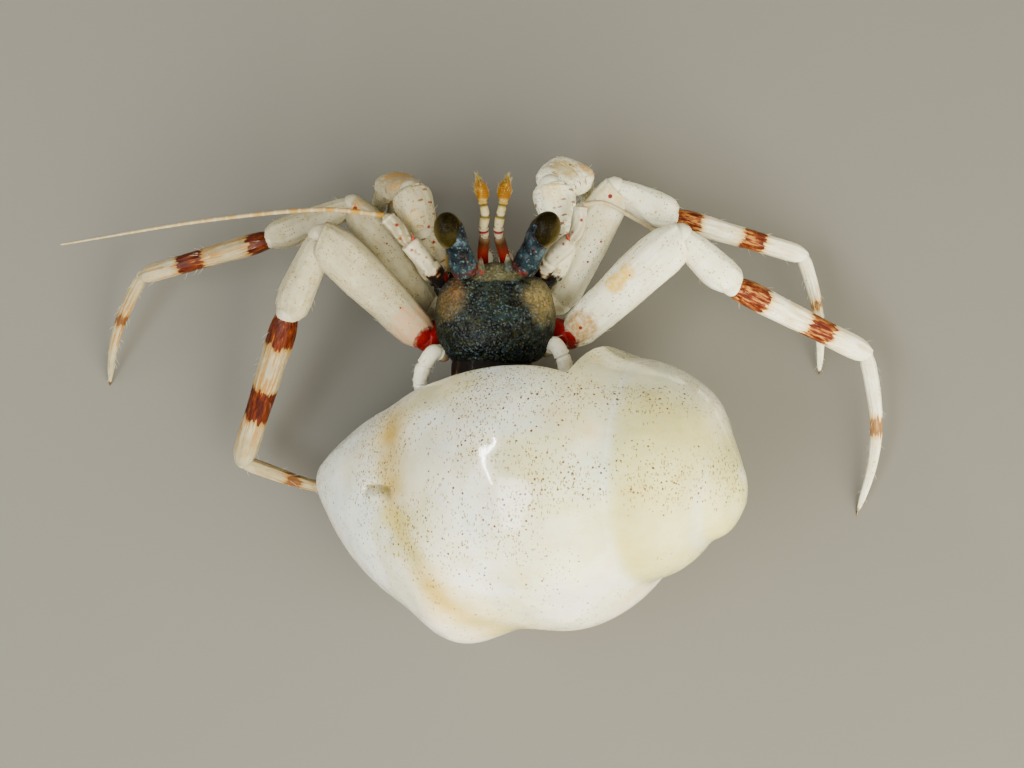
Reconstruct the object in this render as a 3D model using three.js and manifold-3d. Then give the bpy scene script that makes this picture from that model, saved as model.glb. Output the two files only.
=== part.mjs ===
// Small marine hermit crab in a worn, white, right-coiled whelk shell.
// Millimetres, +Z up, floor at z = 0, head towards -Y, the animal's left towards +X.
import * as THREE from 'three';
import { mergeVertices } from 'three/addons/utils/BufferGeometryUtils.js';
import Module from 'manifold-3d';

const wasm = await Module();
wasm.setup();

// ---------- driving dimensions ----------
const GAP = 0.12;               // clearance left in every joint and socket
const SHELL_WALL = 0.75;        // thickness of the snail shell at the mouth
const SHELL_CENTRE = new THREE.Vector3(-2.0, 5.0, 7.2);
const SHELL_TILT = 22;          // apex raised above the level, degrees
const SHELL_BASE = 12.9;        // body whorl centre to the front end of the canal
const COLUMELLA = 0.75;
const LAST_TURN_ANGLE = 112;    // where the upper corner of the lip ends, degrees
const EYE_RADIUS = 0.7;
const FEELER_RADIUS = 0.27;

const PALE = 0xe9e4da;
const TEAL = 0x243138;
const OLIVE = 0x4a4526;
const RED = 0x7a1c10;
const AMBER = 0xc8842e;
const FLESH = 0x5a3a2c;
const NACRE = 0xe4e2dd;

// The shell's coil: age in turns counted back from the lip, then the whorl's outer
// radius, its place along the axis (towards the canal is positive) and its half height.
const COIL = [
  { age: 0.0, radius: 7.3, station: 0.0, half: 6.5 },
  { age: 0.5, radius: 7.1, station: -0.4, half: 4.6 },
  { age: 1.0, radius: 6.4, station: -3.5, half: 4.55 },
  { age: 1.5, radius: 4.65, station: -3.9, half: 3.8 },
  { age: 2.0, radius: 3.1, station: -5.3, half: 3.15 },
  { age: 2.5, radius: 2.5, station: -7.4, half: 2.0 },
  { age: 3.2, radius: 2.2, station: -8.0, half: 1.0 },
];

// Limbs: each part runs `length` from the joint before it; heading is the angle from
// straight ahead towards the limb's own side, climb the angle above level, both in
// degrees; wide and deep are the full sizes at its near and far ends; a bow bends it
// sideways in the middle.
const LIMBS = {
  cheliped_left: {
    side: 1, root: [3.05, -4.55, 5.0],
    parts: [
      { name: 'coxa', length: 0.9, heading: 35, climb: 21, wide: [1.5, 1.5], deep: [1.5, 1.5] },
      { name: 'merus', length: 2.8, heading: 21, climb: 32, wide: [1.7, 2.1], deep: [1.7, 2.0] },
      { name: 'carpus', length: 2.2, heading: 17, climb: 5, wide: [1.7, 1.9], deep: [1.6, 1.8] },
      { name: 'palm', length: 3.3, heading: 62, climb: -66, facing: 8, wide: [2.0, 1.9], deep: [1.3, 1.3] },
      { name: 'finger', length: 3.2, heading: 162, climb: -44, facing: 8, wide: [0.85, 0.4], deep: [0.9, 0.4] },
    ],
  },
  cheliped_right: {
    side: -1, root: [-1.25, -4.9, 5.0],
    parts: [
      { name: 'coxa', length: 0.8, heading: 43, climb: 22, wide: [1.5, 1.5], deep: [1.5, 1.5] },
      { name: 'merus', length: 2.7, heading: 19, climb: 29, wide: [1.8, 2.2], deep: [1.8, 2.1] },
      { name: 'carpus', length: 2.2, heading: -17, climb: 11, wide: [1.8, 2.0], deep: [1.7, 1.9] },
      { name: 'palm', length: 2.9, heading: 50, climb: -55, facing: 20, wide: [2.5, 2.5], deep: [1.5, 1.5] },
      { name: 'finger', length: 3.1, heading: 168, climb: -67, facing: 20, wide: [1.1, 0.45], deep: [1.0, 0.45] },
    ],
  },
  leg2_left: {
    side: 1, root: [3.05, -3.9, 4.2],
    parts: [
      { name: 'coxa', length: 1.1, heading: 90, climb: -5, wide: [1.4, 1.6], deep: [1.4, 1.5] },
      { name: 'merus', length: 6.5, heading: 37, climb: 11, wide: [1.7, 1.8], deep: [1.8, 1.9] },
      { name: 'carpus', length: 4.6, heading: 111, climb: -9, wide: [1.4, 1.5], deep: [1.4, 1.5] },
      { name: 'propodus', length: 7.5, heading: 104, climb: -16, wide: [1.15, 0.85], deep: [1.3, 0.9] },
      { name: 'dactylus', length: 6.7, heading: 158, climb: -23, bow: 0.3, wide: [0.75, 0.34], deep: [0.8, 0.34] },
    ],
  },
  leg2_right: {
    side: -1, root: [-1.35, -4.1, 3.9],
    parts: [
      { name: 'coxa', length: 1.1, heading: 88, climb: 0, wide: [1.4, 1.6], deep: [1.4, 1.5] },
      { name: 'merus', length: 6.5, heading: 25, climb: 15, wide: [1.85, 2.1], deep: [1.8, 1.95] },
      { name: 'carpus', length: 3.3, heading: 115, climb: -7, wide: [1.5, 1.7], deep: [1.5, 1.6] },
      { name: 'propodus', length: 7.6, heading: 104, climb: -18, wide: [1.2, 0.9], deep: [1.3, 0.9] },
      { name: 'dactylus', length: 6.9, heading: 168, climb: -23, bow: 0.3, wide: [0.75, 0.34], deep: [0.8, 0.34] },
    ],
  },
  leg3_left: {
    side: 1, root: [3.15, -2.75, 5.0],
    parts: [
      { name: 'coxa', length: 1.4, heading: 115, climb: 26, wide: [1.5, 1.6], deep: [1.4, 1.5] },
      { name: 'merus', length: 7.4, heading: 45, climb: 13, wide: [2.0, 2.4], deep: [1.9, 2.3] },
      { name: 'carpus', length: 4.3, heading: 155, climb: -13, wide: [1.6, 1.7], deep: [1.6, 1.7] },
      { name: 'propodus', length: 9.0, heading: 159, climb: -26, wide: [1.5, 1.1], deep: [1.6, 1.1] },
      { name: 'dactylus', length: 8.2, heading: -105, climb: -17, bow: 0.3, wide: [0.85, 0.34], deep: [0.9, 0.34] },
    ],
  },
  leg3_right: {
    side: -1, root: [-1.6, -2.75, 5.0],
    parts: [
      { name: 'coxa', length: 1.5, heading: 108, climb: 24, wide: [1.5, 1.6], deep: [1.4, 1.5] },
      { name: 'merus', length: 7.5, heading: 47, climb: 13, wide: [2.0, 2.4], deep: [1.9, 2.3] },
      { name: 'carpus', length: 3.8, heading: 131, climb: -17, wide: [1.6, 1.7], deep: [1.6, 1.7] },
      { name: 'propodus', length: 8.9, heading: 114, climb: -24, wide: [1.4, 1.1], deep: [1.5, 1.1] },
      { name: 'dactylus', length: 9.1, heading: 180, climb: -17, bow: 0.7, wide: [0.85, 0.34], deep: [0.9, 0.34] },
    ],
  },
};

// Routes of the round parts: points from the root outwards, millimetres.
const EYES = {
  left: [[2.25, -5.3, 7.9], [3.02, -7.9, 9.5]],
  right: [[-0.52, -5.45, 7.9], [-1.66, -7.95, 9.5]],
};
const ANTENNULES = {
  left: {
    stem: [[1.42, -5.75, 6.35], [1.4, -6.9, 7.0], [1.4, -7.7, 7.55], [1.32, -8.3, 7.8], [1.4, -8.68, 7.9]],
    whip: [[1.42, -8.84, 7.95], [1.45, -9.4, 7.9], [1.77, -10.3, 7.4]],
  },
  right: {
    stem: [[0.26, -5.75, 6.35], [0.52, -6.9, 7.0], [0.66, -7.7, 7.55], [0.56, -8.3, 7.8], [0.45, -8.68, 7.9]],
    whip: [[0.42, -8.84, 7.95], [0.38, -9.4, 7.9], [0.17, -10.35, 7.4]],
  },
};
const ANTENNAE = {
  left: {
    stem: [[3.35, -5.05, 6.35], [4.1, -5.8, 7.35], [4.9, -6.75, 8.1], [6.1, -8.2, 8.2]],
    whip: [[6.35, -8.35, 8.1], [8.4, -8.5, 8.0], [10.4, -8.5, 7.7], [15.4, -8.05, 6.9], [22.7, -7.0, 5.6]],
  },
  right: {
    stem: [[-1.3, -5.4, 5.9], [-2.0, -6.2, 7.3], [-3.1, -7.3, 8.3], [-3.35, -8.7, 8.4]],
    whip: [[-3.35, -8.95, 8.35], [-4.5, -8.9, 7.5], [-6.2, -8.2, 6.2], [-7.6, -7.6, 5.0],
      [-9.3, -7.65, 3.6], [-11.8, -7.5, 2.9], [-14.6, -7.1, 2.1]],
  },
};
const MOUTH_LEGS = {
  left: [[1.5, -5.0, 4.1], [1.38, -6.0, 4.1], [1.33, -6.55, 3.2], [1.28, -6.2, 2.1]],
  right: [[0.16, -5.0, 4.1], [0.28, -6.0, 4.1], [0.33, -6.55, 3.2], [0.38, -6.2, 2.1]],
};
const BRACE_LEGS = {
  left: [[3.3, -1.4, 5.9], [3.9, -1.55, 6.8], [4.3, -1.0, 6.9], [4.55, -0.2, 6.5], [4.5, 0.6, 5.9]],
  right: [[-1.5, -1.6, 5.9], [-2.1, -1.95, 6.8], [-2.5, -1.35, 6.9], [-2.68, -0.6, 6.5], [-2.6, 0.1, 5.9]],
};

// ---------- small helpers ----------
const radians = THREE.MathUtils.degToRad;
const smoothstep = THREE.MathUtils.smoothstep;
const lerp = THREE.MathUtils.lerp;
const point = ([x, y, z]) => new THREE.Vector3(x, y, z);

// Unit vector for a heading and a climb on one side of the animal.
function direction(heading, climb, side) {
  const h = radians(heading);
  const c = radians(climb);
  return new THREE.Vector3(side * Math.sin(h) * Math.cos(c), -Math.cos(h) * Math.cos(c), Math.sin(c));
}

// Closed triangle mesh from rings of equal length, with a fan at both ends.
function ringsToSolid(rings) {
  const sides = rings[0].length;
  const positions = [];
  for (const ring of rings) {
    for (const p of ring) positions.push(p.x, p.y, p.z);
  }
  const middle = (ring) => ring.reduce((sum, p) => sum.add(p), new THREE.Vector3()).divideScalar(sides);
  const first = middle(rings[0]);
  const last = middle(rings[rings.length - 1]);
  const firstIndex = positions.length / 3;
  positions.push(first.x, first.y, first.z, last.x, last.y, last.z);
  const index = [];
  for (let i = 0; i < rings.length - 1; i += 1) {
    for (let j = 0; j < sides; j += 1) {
      const k = (j + 1) % sides;
      const a = i * sides + j;
      const b = i * sides + k;
      const c = (i + 1) * sides + j;
      const d = (i + 1) * sides + k;
      index.push(a, b, d, a, d, c);
    }
  }
  const top = (rings.length - 1) * sides;
  for (let j = 0; j < sides; j += 1) {
    const k = (j + 1) % sides;
    index.push(firstIndex, k, j);
    index.push(firstIndex + 1, top + j, top + k);
  }
  const geometry = new THREE.BufferGeometry();
  geometry.setAttribute('position', new THREE.Float32BufferAttribute(positions, 3));
  geometry.setIndex(index);
  return toSolid(geometry);
}

// Three.js geometry to a Manifold solid; a mesh wound inside out is turned over.
function toSolid(source) {
  const geometry = source.clone();
  geometry.deleteAttribute('normal');
  geometry.deleteAttribute('uv');
  const merged = mergeVertices(geometry, 1e-5);
  const vertProperties = new Float32Array(merged.attributes.position.array);
  const triVerts = new Uint32Array(merged.index.array);
  if (signedVolume(vertProperties, triVerts) < 0) {
    for (let i = 0; i < triVerts.length; i += 3) {
      [triVerts[i + 1], triVerts[i + 2]] = [triVerts[i + 2], triVerts[i + 1]];
    }
  }
  return new wasm.Manifold(new wasm.Mesh({ numProp: 3, vertProperties, triVerts }));
}

// A cut can leave loose crumbs beside the body: only the body is kept.
function withoutCrumbs(solid) {
  return solid.decompose().reduce((a, b) => (b.volume() > a.volume() ? b : a));
}

function signedVolume(xyz, triangles) {
  const corner = (i) => new THREE.Vector3(xyz[3 * i], xyz[3 * i + 1], xyz[3 * i + 2]);
  let total = 0;
  for (let i = 0; i < triangles.length; i += 3) {
    const [a, b, c] = [0, 1, 2].map((k) => corner(triangles[i + k]));
    total += a.dot(b.cross(c)) / 6;
  }
  return total;
}

// Elliptical ring: `across` and `over` are unit vectors, wide and deep the half sizes.
function ellipse(centre, across, over, wide, deep, sides) {
  const ring = [];
  for (let j = 0; j < sides; j += 1) {
    const angle = (2 * Math.PI * (j + 0.5)) / sides;
    ring.push(centre.clone()
      .addScaledVector(across, wide * Math.cos(angle))
      .addScaledVector(over, deep * Math.sin(angle)));
  }
  return ring;
}

// Body of elliptical rings along a line of stations {at, wide, deep} (half sizes).
function loft(stations, across, sides) {
  const rings = stations.map(({ at, wide, deep }, i) => {
    const before = stations[Math.max(i - 1, 0)].at;
    const after = stations[Math.min(i + 1, stations.length - 1)].at;
    const along = after.clone().sub(before).normalize();
    const over = across.clone().cross(along).normalize();
    const level = along.clone().cross(over).normalize();
    return ellipse(at, level, over, wide, deep, sides);
  });
  return ringsToSolid(rings);
}

// Smooth round tube through given points, its radius read from a short list.
function tube(points, radii, { sides = 8, steps = 8, grow = 0, across = new THREE.Vector3(0, 0, 1) } = {}) {
  const curve = new THREE.CatmullRomCurve3(points.map(point), false, 'centripetal');
  const stations = [];
  for (let i = 0; i <= steps; i += 1) {
    const s = i / steps;
    const at = curve.getPointAt(s);
    const place = s * (radii.length - 1);
    const k = Math.min(Math.floor(place), radii.length - 2);
    const radius = lerp(radii[k], radii[k + 1], place - k) + grow;
    stations.push({ at, wide: radius, deep: radius });
  }
  return loft(stations, across, sides);
}

// ---------- limbs ----------
// Profile of a limb part: place along it, share of the full size.
const STOUT = [[-0.05, 0.45], [0.03, 0.88], [0.3, 1.02], [0.83, 1.02], [1.03, 0.6]];
const TAPERED = [[-0.03, 0.6], [0.05, 0.95], [0.3, 1.0], [0.65, 0.97], [1.0, 0.8]];

// One limb part as a solid, and the point where the next one starts.
function limbPart(spec, from, side, grow = 0) {
  const along = direction(spec.heading, spec.climb, side);
  const facing = direction((spec.facing ?? spec.heading) + 90, 0, side);
  const end = from.clone().addScaledVector(along, spec.length);
  const pointed = spec.name === 'dactylus' || spec.name === 'finger';
  const profile = pointed ? TAPERED : STOUT;
  const over = facing.clone().cross(along).normalize();
  if (over.z < 0) over.negate();
  const stations = profile.map(([s, share]) => {
    const stretch = s < 0 || s > 1 ? Math.sign(s - 0.5) * grow : 0;
    const at = from.clone().addScaledVector(along, s * spec.length + stretch);
    at.addScaledVector(facing, -(spec.bow ?? 0) * Math.sin(Math.PI * s));
    if (spec.name === 'dactylus') at.addScaledVector(over, 0.5 * Math.sin(Math.PI * s));
    const wide = (lerp(spec.wide[0], spec.wide[1], s) * share) / 2 + grow;
    const deep = (lerp(spec.deep[0], spec.deep[1], s) * share) / 2 + grow;
    return { at, wide, deep };
  });
  return { solid: loft(stations, facing, 8), end };
}

// The fixed finger that continues the palm beside the moving one.
function fixedFinger(palm, finger, from, side) {
  const offset = direction((palm.facing ?? palm.heading) + 90, 0, side).multiplyScalar(0.52 * palm.wide[1] / 2);
  const root = from.clone().add(offset);
  const spec = { ...finger, length: finger.length * 0.98, wide: [finger.wide[0] * 0.9, 0.4] };
  return limbPart(spec, root.addScaledVector(direction(palm.heading, palm.climb, side), -0.6), side).solid;
}

function buildLimb(limb) {
  const joints = [point(limb.root)];
  const pieces = [];
  for (const spec of limb.parts) {
    const from = joints[joints.length - 1].clone();
    if (spec.name === 'finger') {
      const palm = limb.parts[limb.parts.length - 2];
      const facing = direction(palm.facing + 90, 0, limb.side);
      from.addScaledVector(facing, -0.24 * palm.wide[1]);
    }
    const made = limbPart(spec, from, limb.side);
    const cutter = limbPart(spec, from, limb.side, GAP).solid;
    pieces.push({ name: spec.name, solid: made.solid, cutter });
    joints.push(joints[joints.length - 1].clone().addScaledVector(
      direction(spec.heading, spec.climb, limb.side), spec.length));
  }
  const last = pieces.length - 1;
  if (limb.parts[last].name === 'finger') {
    const fixed = fixedFinger(limb.parts[last - 1], limb.parts[last], joints[last], limb.side);
    pieces[last - 1].solid = pieces[last - 1].solid.add(fixed);
  }
  for (let i = 0; i < last; i += 1) {
    pieces[i].solid = pieces[i].solid.subtract(pieces[i + 1].cutter);
  }
  return pieces;
}

// ---------- snail shell ----------
// Value of one coil property at an age in turns, eased between the given ages.
function coil(key, age) {
  const last = COIL.length - 1;
  if (age >= COIL[last].age) return COIL[last][key];
  let i = 0;
  while (COIL[i + 1].age < age) i += 1;
  const span = COIL[i + 1].age - COIL[i].age;
  const s = (age - COIL[i].age) / span;
  const slope = (k) => (COIL[k + 1][key] - COIL[k][key]) / (COIL[k + 1].age - COIL[k].age);
  const tangent = (k) => {
    if (k === 0 || k === last) return k === 0 ? slope(0) : slope(last - 1);
    const a = slope(k - 1);
    const b = slope(k);
    return a * b <= 0 ? 0 : (2 * a * b) / (a + b);
  };
  const s2 = s * s;
  const s3 = s2 * s;
  return COIL[i][key] * (2 * s3 - 3 * s2 + 1) + COIL[i + 1][key] * (3 * s2 - 2 * s3)
    + span * (tangent(i) * (s3 - 2 * s2 + s) + tangent(i + 1) * (s3 - s2));
}

// Outer radius of the whorl of one age at the station h along the axis.
function whorlRadius(age, h, angle) {
  const radius = coil('radius', age);
  const station = coil('station', age);
  const x = Math.abs((h - station) / coil('half', age));
  const round = x < 1 ? radius * (0.41 + 0.59 * Math.sqrt(1 - x * x)) : 0;
  const shrink = 1 - 0.4 * smoothstep(age, 0.55, 1.0) - 0.25 * smoothstep(age, 1.0, 2.0);
  const y = (h - station) / ((SHELL_BASE - station) * shrink);
  if (y <= 0 || y >= 1) return round;
  const rear = Math.exp(-(((angle + 120) / 72) ** 2));
  const base = COLUMELLA + (radius - COLUMELLA) * (1 - y ** (1.68 + 2.6 * rear)) ** 0.94;
  return Math.max(round, base);
}

// The twisted pillar at the core, closed off at the canal end.
function pillarRadius(h) {
  const y = h / SHELL_BASE;
  return y >= 1 ? 0 : COLUMELLA * Math.sqrt(1 - Math.max(y, 0) ** 6);
}

// The swelling where the old canal ends wind round the base of the shell.
function fasciole(h, angle) {
  const turn = radians(angle + 84);
  return 1.05 * Math.exp(-(((h - 4.5 + 0.4 * turn) / 2.1) ** 2)) * Math.exp(-((turn / 1.07) ** 2));
}

// Angle at which the lip ends, from straight above towards the animal.
function lipAngle(h) {
  return lerp(LAST_TURN_ANGLE, 57 + 0.9 * h, smoothstep(h, -3.2, -2.2));
}

function outerRadius(angle, h) {
  const turns = (LAST_TURN_ANGLE - angle) / 360;
  const newest = angle > lipAngle(h) + 1e-6 ? 1 : 0;
  let radius = pillarRadius(h);
  for (let n = newest; n < 4; n += 1) radius = Math.max(radius, whorlRadius(turns + n, h, angle));
  return newest === 0 && radius > 0 ? radius + fasciole(h, angle) : radius;
}

// Point of the shell from its own cylinder coordinates.
function onShell(angle, h, radius) {
  const tilt = radians(SHELL_TILT);
  const front = new THREE.Vector3(Math.cos(tilt), 0, -Math.sin(tilt));
  const up = new THREE.Vector3(Math.sin(tilt), 0, Math.cos(tilt));
  const toHead = new THREE.Vector3(0, -1, 0);
  const a = radians(angle);
  return SHELL_CENTRE.clone()
    .addScaledVector(front, h)
    .addScaledVector(up, radius * Math.cos(a))
    .addScaledVector(toHead, radius * Math.sin(a));
}

function shellOutside(grow) {
  const aroundSteps = 36;
  const alongSteps = 22;
  const apex = -9.0;
  const rings = [];
  for (let i = 0; i <= alongSteps; i += 1) {
    const s = i / alongSteps;
    const eased = s - 0.09 * Math.sin(2 * Math.PI * s);
    const h = lerp(apex, SHELL_BASE - 0.02, eased);
    const ring = [];
    for (let j = 0; j < aroundSteps; j += 1) {
      const angle = LAST_TURN_ANGLE - (360 * (j + 0.5)) / aroundSteps;
      ring.push(onShell(angle, h + grow * (2 * s - 1), Math.max(outerRadius(angle, h), 0.35) + grow));
    }
    rings.push(ring);
  }
  return ringsToSolid(rings);
}

// Edges of the hollow at one angle: stations where the outer wall clears the older whorl.
function hollowSpan(angle) {
  const outer = (h) => {
    const turns = Math.max((LAST_TURN_ANGLE - angle) / 360, 0);
    return whorlRadius(turns, h, angle) - SHELL_WALL;
  };
  const inner = (h) => {
    const turns = (LAST_TURN_ANGLE - angle) / 360;
    let radius = COLUMELLA + 0.25;
    for (let n = 1; n < 4; n += 1) radius = Math.max(radius, whorlRadius(turns + n, h, angle) + 0.15);
    return radius;
  };
  const clear = [];
  for (let h = -8; h < SHELL_BASE; h += 0.1) {
    if (outer(h) - inner(h) > 0.5) clear.push(h);
  }
  return { outer, inner, low: clear[0], high: clear[clear.length - 1] };
}

// The hollow that the animal lives in, from outside the lip back round the coil.
function shellHollow(grow) {
  const rings = [];
  const points = 8;
  const open = LAST_TURN_ANGLE + 8;
  const deep = -118;
  const steps = 16;
  for (let i = 0; i <= steps; i += 1) {
    const angle = lerp(open, deep, i / steps);
    const { outer, inner, low, high } = hollowSpan(angle);
    const close = 1 - 0.75 * smoothstep(i / steps, 0.7, 1.0);
    const outside = [];
    const inside = [];
    for (let k = 0; k < points; k += 1) {
      const h = lerp(low + grow, high - grow, 0.5 + (k / (points - 1) - 0.5) * close);
      const middle = (outer(h) + inner(h)) / 2;
      outside.push(onShell(angle, h, Math.max(lerp(middle, outer(h), close) - grow, middle + 0.05)));
      inside.unshift(onShell(angle, h, Math.min(lerp(middle, inner(h), close) + grow, middle - 0.05)));
    }
    rings.push([...outside, ...inside]);
  }
  return ringsToSolid(rings);
}

function shellSolid(grow = 0) {
  return shellOutside(grow).subtract(shellHollow(grow));
}

// ---------- head and body ----------
const MID = 0.83;               // the head's middle line, off the shell's own middle

// Front to back: station, half width, middle height, half height.
const BACK = [
  [-6.0, 0.75, 7.1, 0.45],
  [-5.75, 1.1, 7.1, 0.75],
  [-5.4, 1.7, 6.95, 1.05],
  [-5.05, 2.45, 6.8, 1.3],
  [-4.4, 2.8, 6.6, 1.65],
  [-3.4, 2.97, 6.5, 1.95],
  [-2.4, 2.88, 6.4, 2.0],
  [-1.7, 2.55, 6.3, 1.9],
  [-1.15, 2.15, 6.2, 1.7],
  [-0.9, 1.7, 6.1, 1.45],
];

function bodyForm(shrink, grow) {
  const stations = BACK.map(([y, half, height, rise]) => ({
    at: new THREE.Vector3(MID, y, height), wide: half * shrink + grow, deep: rise * shrink + grow,
  }));
  return loft(stations, new THREE.Vector3(1, 0, 0), 14);
}

function box(sizeX, sizeY, sizeZ, x, y, z) {
  const geometry = new THREE.BoxGeometry(sizeX, sizeY, sizeZ);
  geometry.translate(x, y, z);
  return toSolid(geometry);
}

// Hard plate over the front of the back, with its small beak between the eyes.
function shieldSolid(grow) {
  return bodyForm(1, grow).intersect(box(12, 12, 6, MID, -3, 9.35 - grow));
}

// Thorax below the plate and the soft body that runs back into the shell.
function trunkSolid() {
  const thorax = bodyForm(0.9, 0).intersect(box(12, 12, 6, MID, -3, 3.2));
  const soft = tube(
    [[MID, -3.6, 4.9], [MID + 0.2, -1.2, 5.6], [1.6, 0.6, 6.6], [2.3, 2.0, 7.6]],
    [1.7, 2.0, 1.9, 1.3, 0.6],
    { sides: 10, steps: 5 },
  );
  return thorax.add(soft);
}

// Stalk and swollen cornea, which sits towards the tip and the outer side.
function eye(base, tip, side, grow) {
  const from = point(base);
  const to = point(tip);
  const along = to.clone().sub(from).normalize();
  const shares = [[-0.02, 0.5], [0.05, 0.85], [0.35, 0.95], [0.7, 1.0], [0.92, 0.85], [1.0, 0.5]];
  const stations = shares.map(([s, share]) => ({
    at: from.clone().lerp(to, s), wide: EYE_RADIUS * share + grow, deep: EYE_RADIUS * share + grow,
  }));
  const outward = new THREE.Vector3(side, 0, 0).addScaledVector(along, -along.x * side).normalize();
  const centre = to.clone().addScaledVector(along, -0.62).addScaledVector(outward, 0.2);
  const ball = new THREE.SphereGeometry(1, 12, 8);
  ball.scale(EYE_RADIUS + grow, EYE_RADIUS + 0.28 + grow, EYE_RADIUS + grow);
  ball.applyQuaternion(new THREE.Quaternion().setFromUnitVectors(new THREE.Vector3(0, 1, 0), along));
  ball.translate(centre.x, centre.y, centre.z);
  return { stalk: loft(stations, new THREE.Vector3(1, 0, 0), 10), ball: toSolid(ball) };
}

// ---------- assembly ----------
const group = new THREE.Group();
const floor = box(80, 80, 4, 0, 0, -2);

// Adds a named mesh; everything is trimmed where it would reach below the floor.
function addMesh(name, solid, color, roughness) {
  const trimmed = withoutCrumbs(solid.subtract(floor));
  const { vertProperties, triVerts } = trimmed.getMesh();
  const geometry = new THREE.BufferGeometry();
  geometry.setAttribute('position', new THREE.Float32BufferAttribute(vertProperties, 3));
  geometry.setIndex(new THREE.BufferAttribute(new Uint32Array(triVerts), 1));
  const mesh = new THREE.Mesh(geometry, new THREE.MeshStandardMaterial({ color, roughness, metalness: 0 }));
  mesh.name = name;
  group.add(mesh);
}

const pieces = new Map();

// Keeps a piece until its neighbours have been cut back; `cutter` is its grown form.
function addPiece(name, solid, cutter, color, roughness) {
  pieces.set(name, { solid, cutter, color, roughness });
}

// Cuts one piece back by the grown forms of others.
function yieldTo(name, ...others) {
  const piece = pieces.get(name);
  for (const other of others) piece.solid = piece.solid.subtract(pieces.get(other).cutter);
}

function addTube(name, route, radii, steps, color, roughness, sides = 8) {
  const cutter = tube(route, radii, { sides, steps, grow: GAP });
  addPiece(name, tube(route, radii, { sides, steps }), cutter, color, roughness);
}

addPiece('shell', shellSolid(), shellSolid(GAP), NACRE, 0.35);
addPiece('shield', shieldSolid(0), shieldSolid(GAP), TEAL, 0.35);
addPiece('trunk', trunkSolid(), null, FLESH, 0.5);

for (const side of ['left', 'right']) {
  const { stalk, ball } = eye(...EYES[side], side === 'left' ? 1 : -1, 0);
  const grown = eye(...EYES[side], side === 'left' ? 1 : -1, GAP);
  addPiece(`eyestalk_${side}`, stalk, grown.stalk, TEAL, 0.35);
  addPiece(`cornea_${side}`, ball, grown.ball, OLIVE, 0.1);
  addTube(`antennule_stem_${side}`, ANTENNULES[side].stem, [0.3, 0.34, 0.3, 0.27, 0.25], 7, RED, 0.4);
  addTube(`antennule_whip_${side}`, ANTENNULES[side].whip, [0.3, 0.36, 0.25], 4, AMBER, 0.4);
  addTube(`antenna_stem_${side}`, ANTENNAE[side].stem, [0.45, 0.5, 0.48, 0.4], 7, PALE, 0.4);
  const whip = [FEELER_RADIUS, FEELER_RADIUS, 0.25];
  addTube(`antenna_whip_${side}`, ANTENNAE[side].whip, whip, 12, AMBER, 0.5, 6);
  addTube(`mouth_leg_${side}`, MOUTH_LEGS[side], [0.38, 0.37, 0.34, 0.25], 6, PALE, 0.5);
  addTube(`leg4_${side}`, BRACE_LEGS[side], [0.4, 0.45, 0.42, 0.38], 7, PALE, 0.4);
}
for (const [limbName, limb] of Object.entries(LIMBS)) {
  for (const { name, solid, cutter } of buildLimb(limb)) {
    addPiece(`${limbName}_${name}`, solid, cutter, PALE, 0.35);
  }
}

for (const side of ['left', 'right']) {
  yieldTo(`eyestalk_${side}`, `cornea_${side}`);
  yieldTo('shield', `eyestalk_${side}`, `antenna_stem_${side}`, `antennule_stem_${side}`);
  yieldTo('shield', `cheliped_${side}_merus`, `leg2_${side}_merus`, `leg3_${side}_merus`, `leg4_${side}`);
  yieldTo('trunk', `antenna_stem_${side}`, `antennule_stem_${side}`, `mouth_leg_${side}`, `leg4_${side}`);
  yieldTo('trunk', `cheliped_${side}_coxa`, `leg2_${side}_coxa`, `leg3_${side}_coxa`, `leg3_${side}_merus`);
  yieldTo(`leg4_${side}`, 'shell', `leg3_${side}_coxa`, `leg3_${side}_merus`);
  yieldTo(`antenna_stem_${side}`, `cheliped_${side}_merus`, `cheliped_${side}_coxa`);
  yieldTo(`leg2_${side}_coxa`, `cheliped_${side}_coxa`, `leg3_${side}_coxa`);
  yieldTo(`leg2_${side}_merus`, `cheliped_${side}_coxa`, `cheliped_${side}_merus`);
}
yieldTo('shield', 'shell');
yieldTo('trunk', 'shell', 'shield');
for (const [name, { solid, color, roughness }] of pieces) addMesh(name, solid, color, roughness);

// The origin goes below the middle of the whole animal, on the floor.
const bounds = new THREE.Box3().setFromObject(group);
const centre = bounds.getCenter(new THREE.Vector3());
group.position.set(-centre.x, -centre.y, 0);

export default group;
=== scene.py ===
"""A small marine hermit crab in a worn white whelk shell: the looks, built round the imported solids.

Shapes are worked out in the animal's own frame, in millimetres: the head looks towards -Y, the
animal's left is +X and the floor is z = 0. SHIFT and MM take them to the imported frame, in metres.
"""
import math
from collections import namedtuple

import bpy
import numpy as np
from mathutils import Matrix, Vector


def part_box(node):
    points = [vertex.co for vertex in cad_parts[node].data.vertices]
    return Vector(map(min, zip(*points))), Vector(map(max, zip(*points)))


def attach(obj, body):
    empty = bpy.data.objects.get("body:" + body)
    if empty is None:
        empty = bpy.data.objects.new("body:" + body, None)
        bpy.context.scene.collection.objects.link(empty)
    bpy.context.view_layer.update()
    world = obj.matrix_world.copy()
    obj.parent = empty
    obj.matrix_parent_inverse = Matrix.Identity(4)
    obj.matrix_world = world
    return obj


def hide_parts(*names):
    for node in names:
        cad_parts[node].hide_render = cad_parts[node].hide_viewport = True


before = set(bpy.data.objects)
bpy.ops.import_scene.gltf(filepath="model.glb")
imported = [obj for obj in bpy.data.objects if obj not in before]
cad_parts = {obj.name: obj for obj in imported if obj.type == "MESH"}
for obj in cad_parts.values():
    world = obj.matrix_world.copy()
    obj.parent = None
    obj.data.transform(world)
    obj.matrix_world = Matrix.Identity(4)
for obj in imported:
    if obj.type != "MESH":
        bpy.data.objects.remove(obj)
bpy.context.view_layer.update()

MM = 0.001
BODY = "root"
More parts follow.
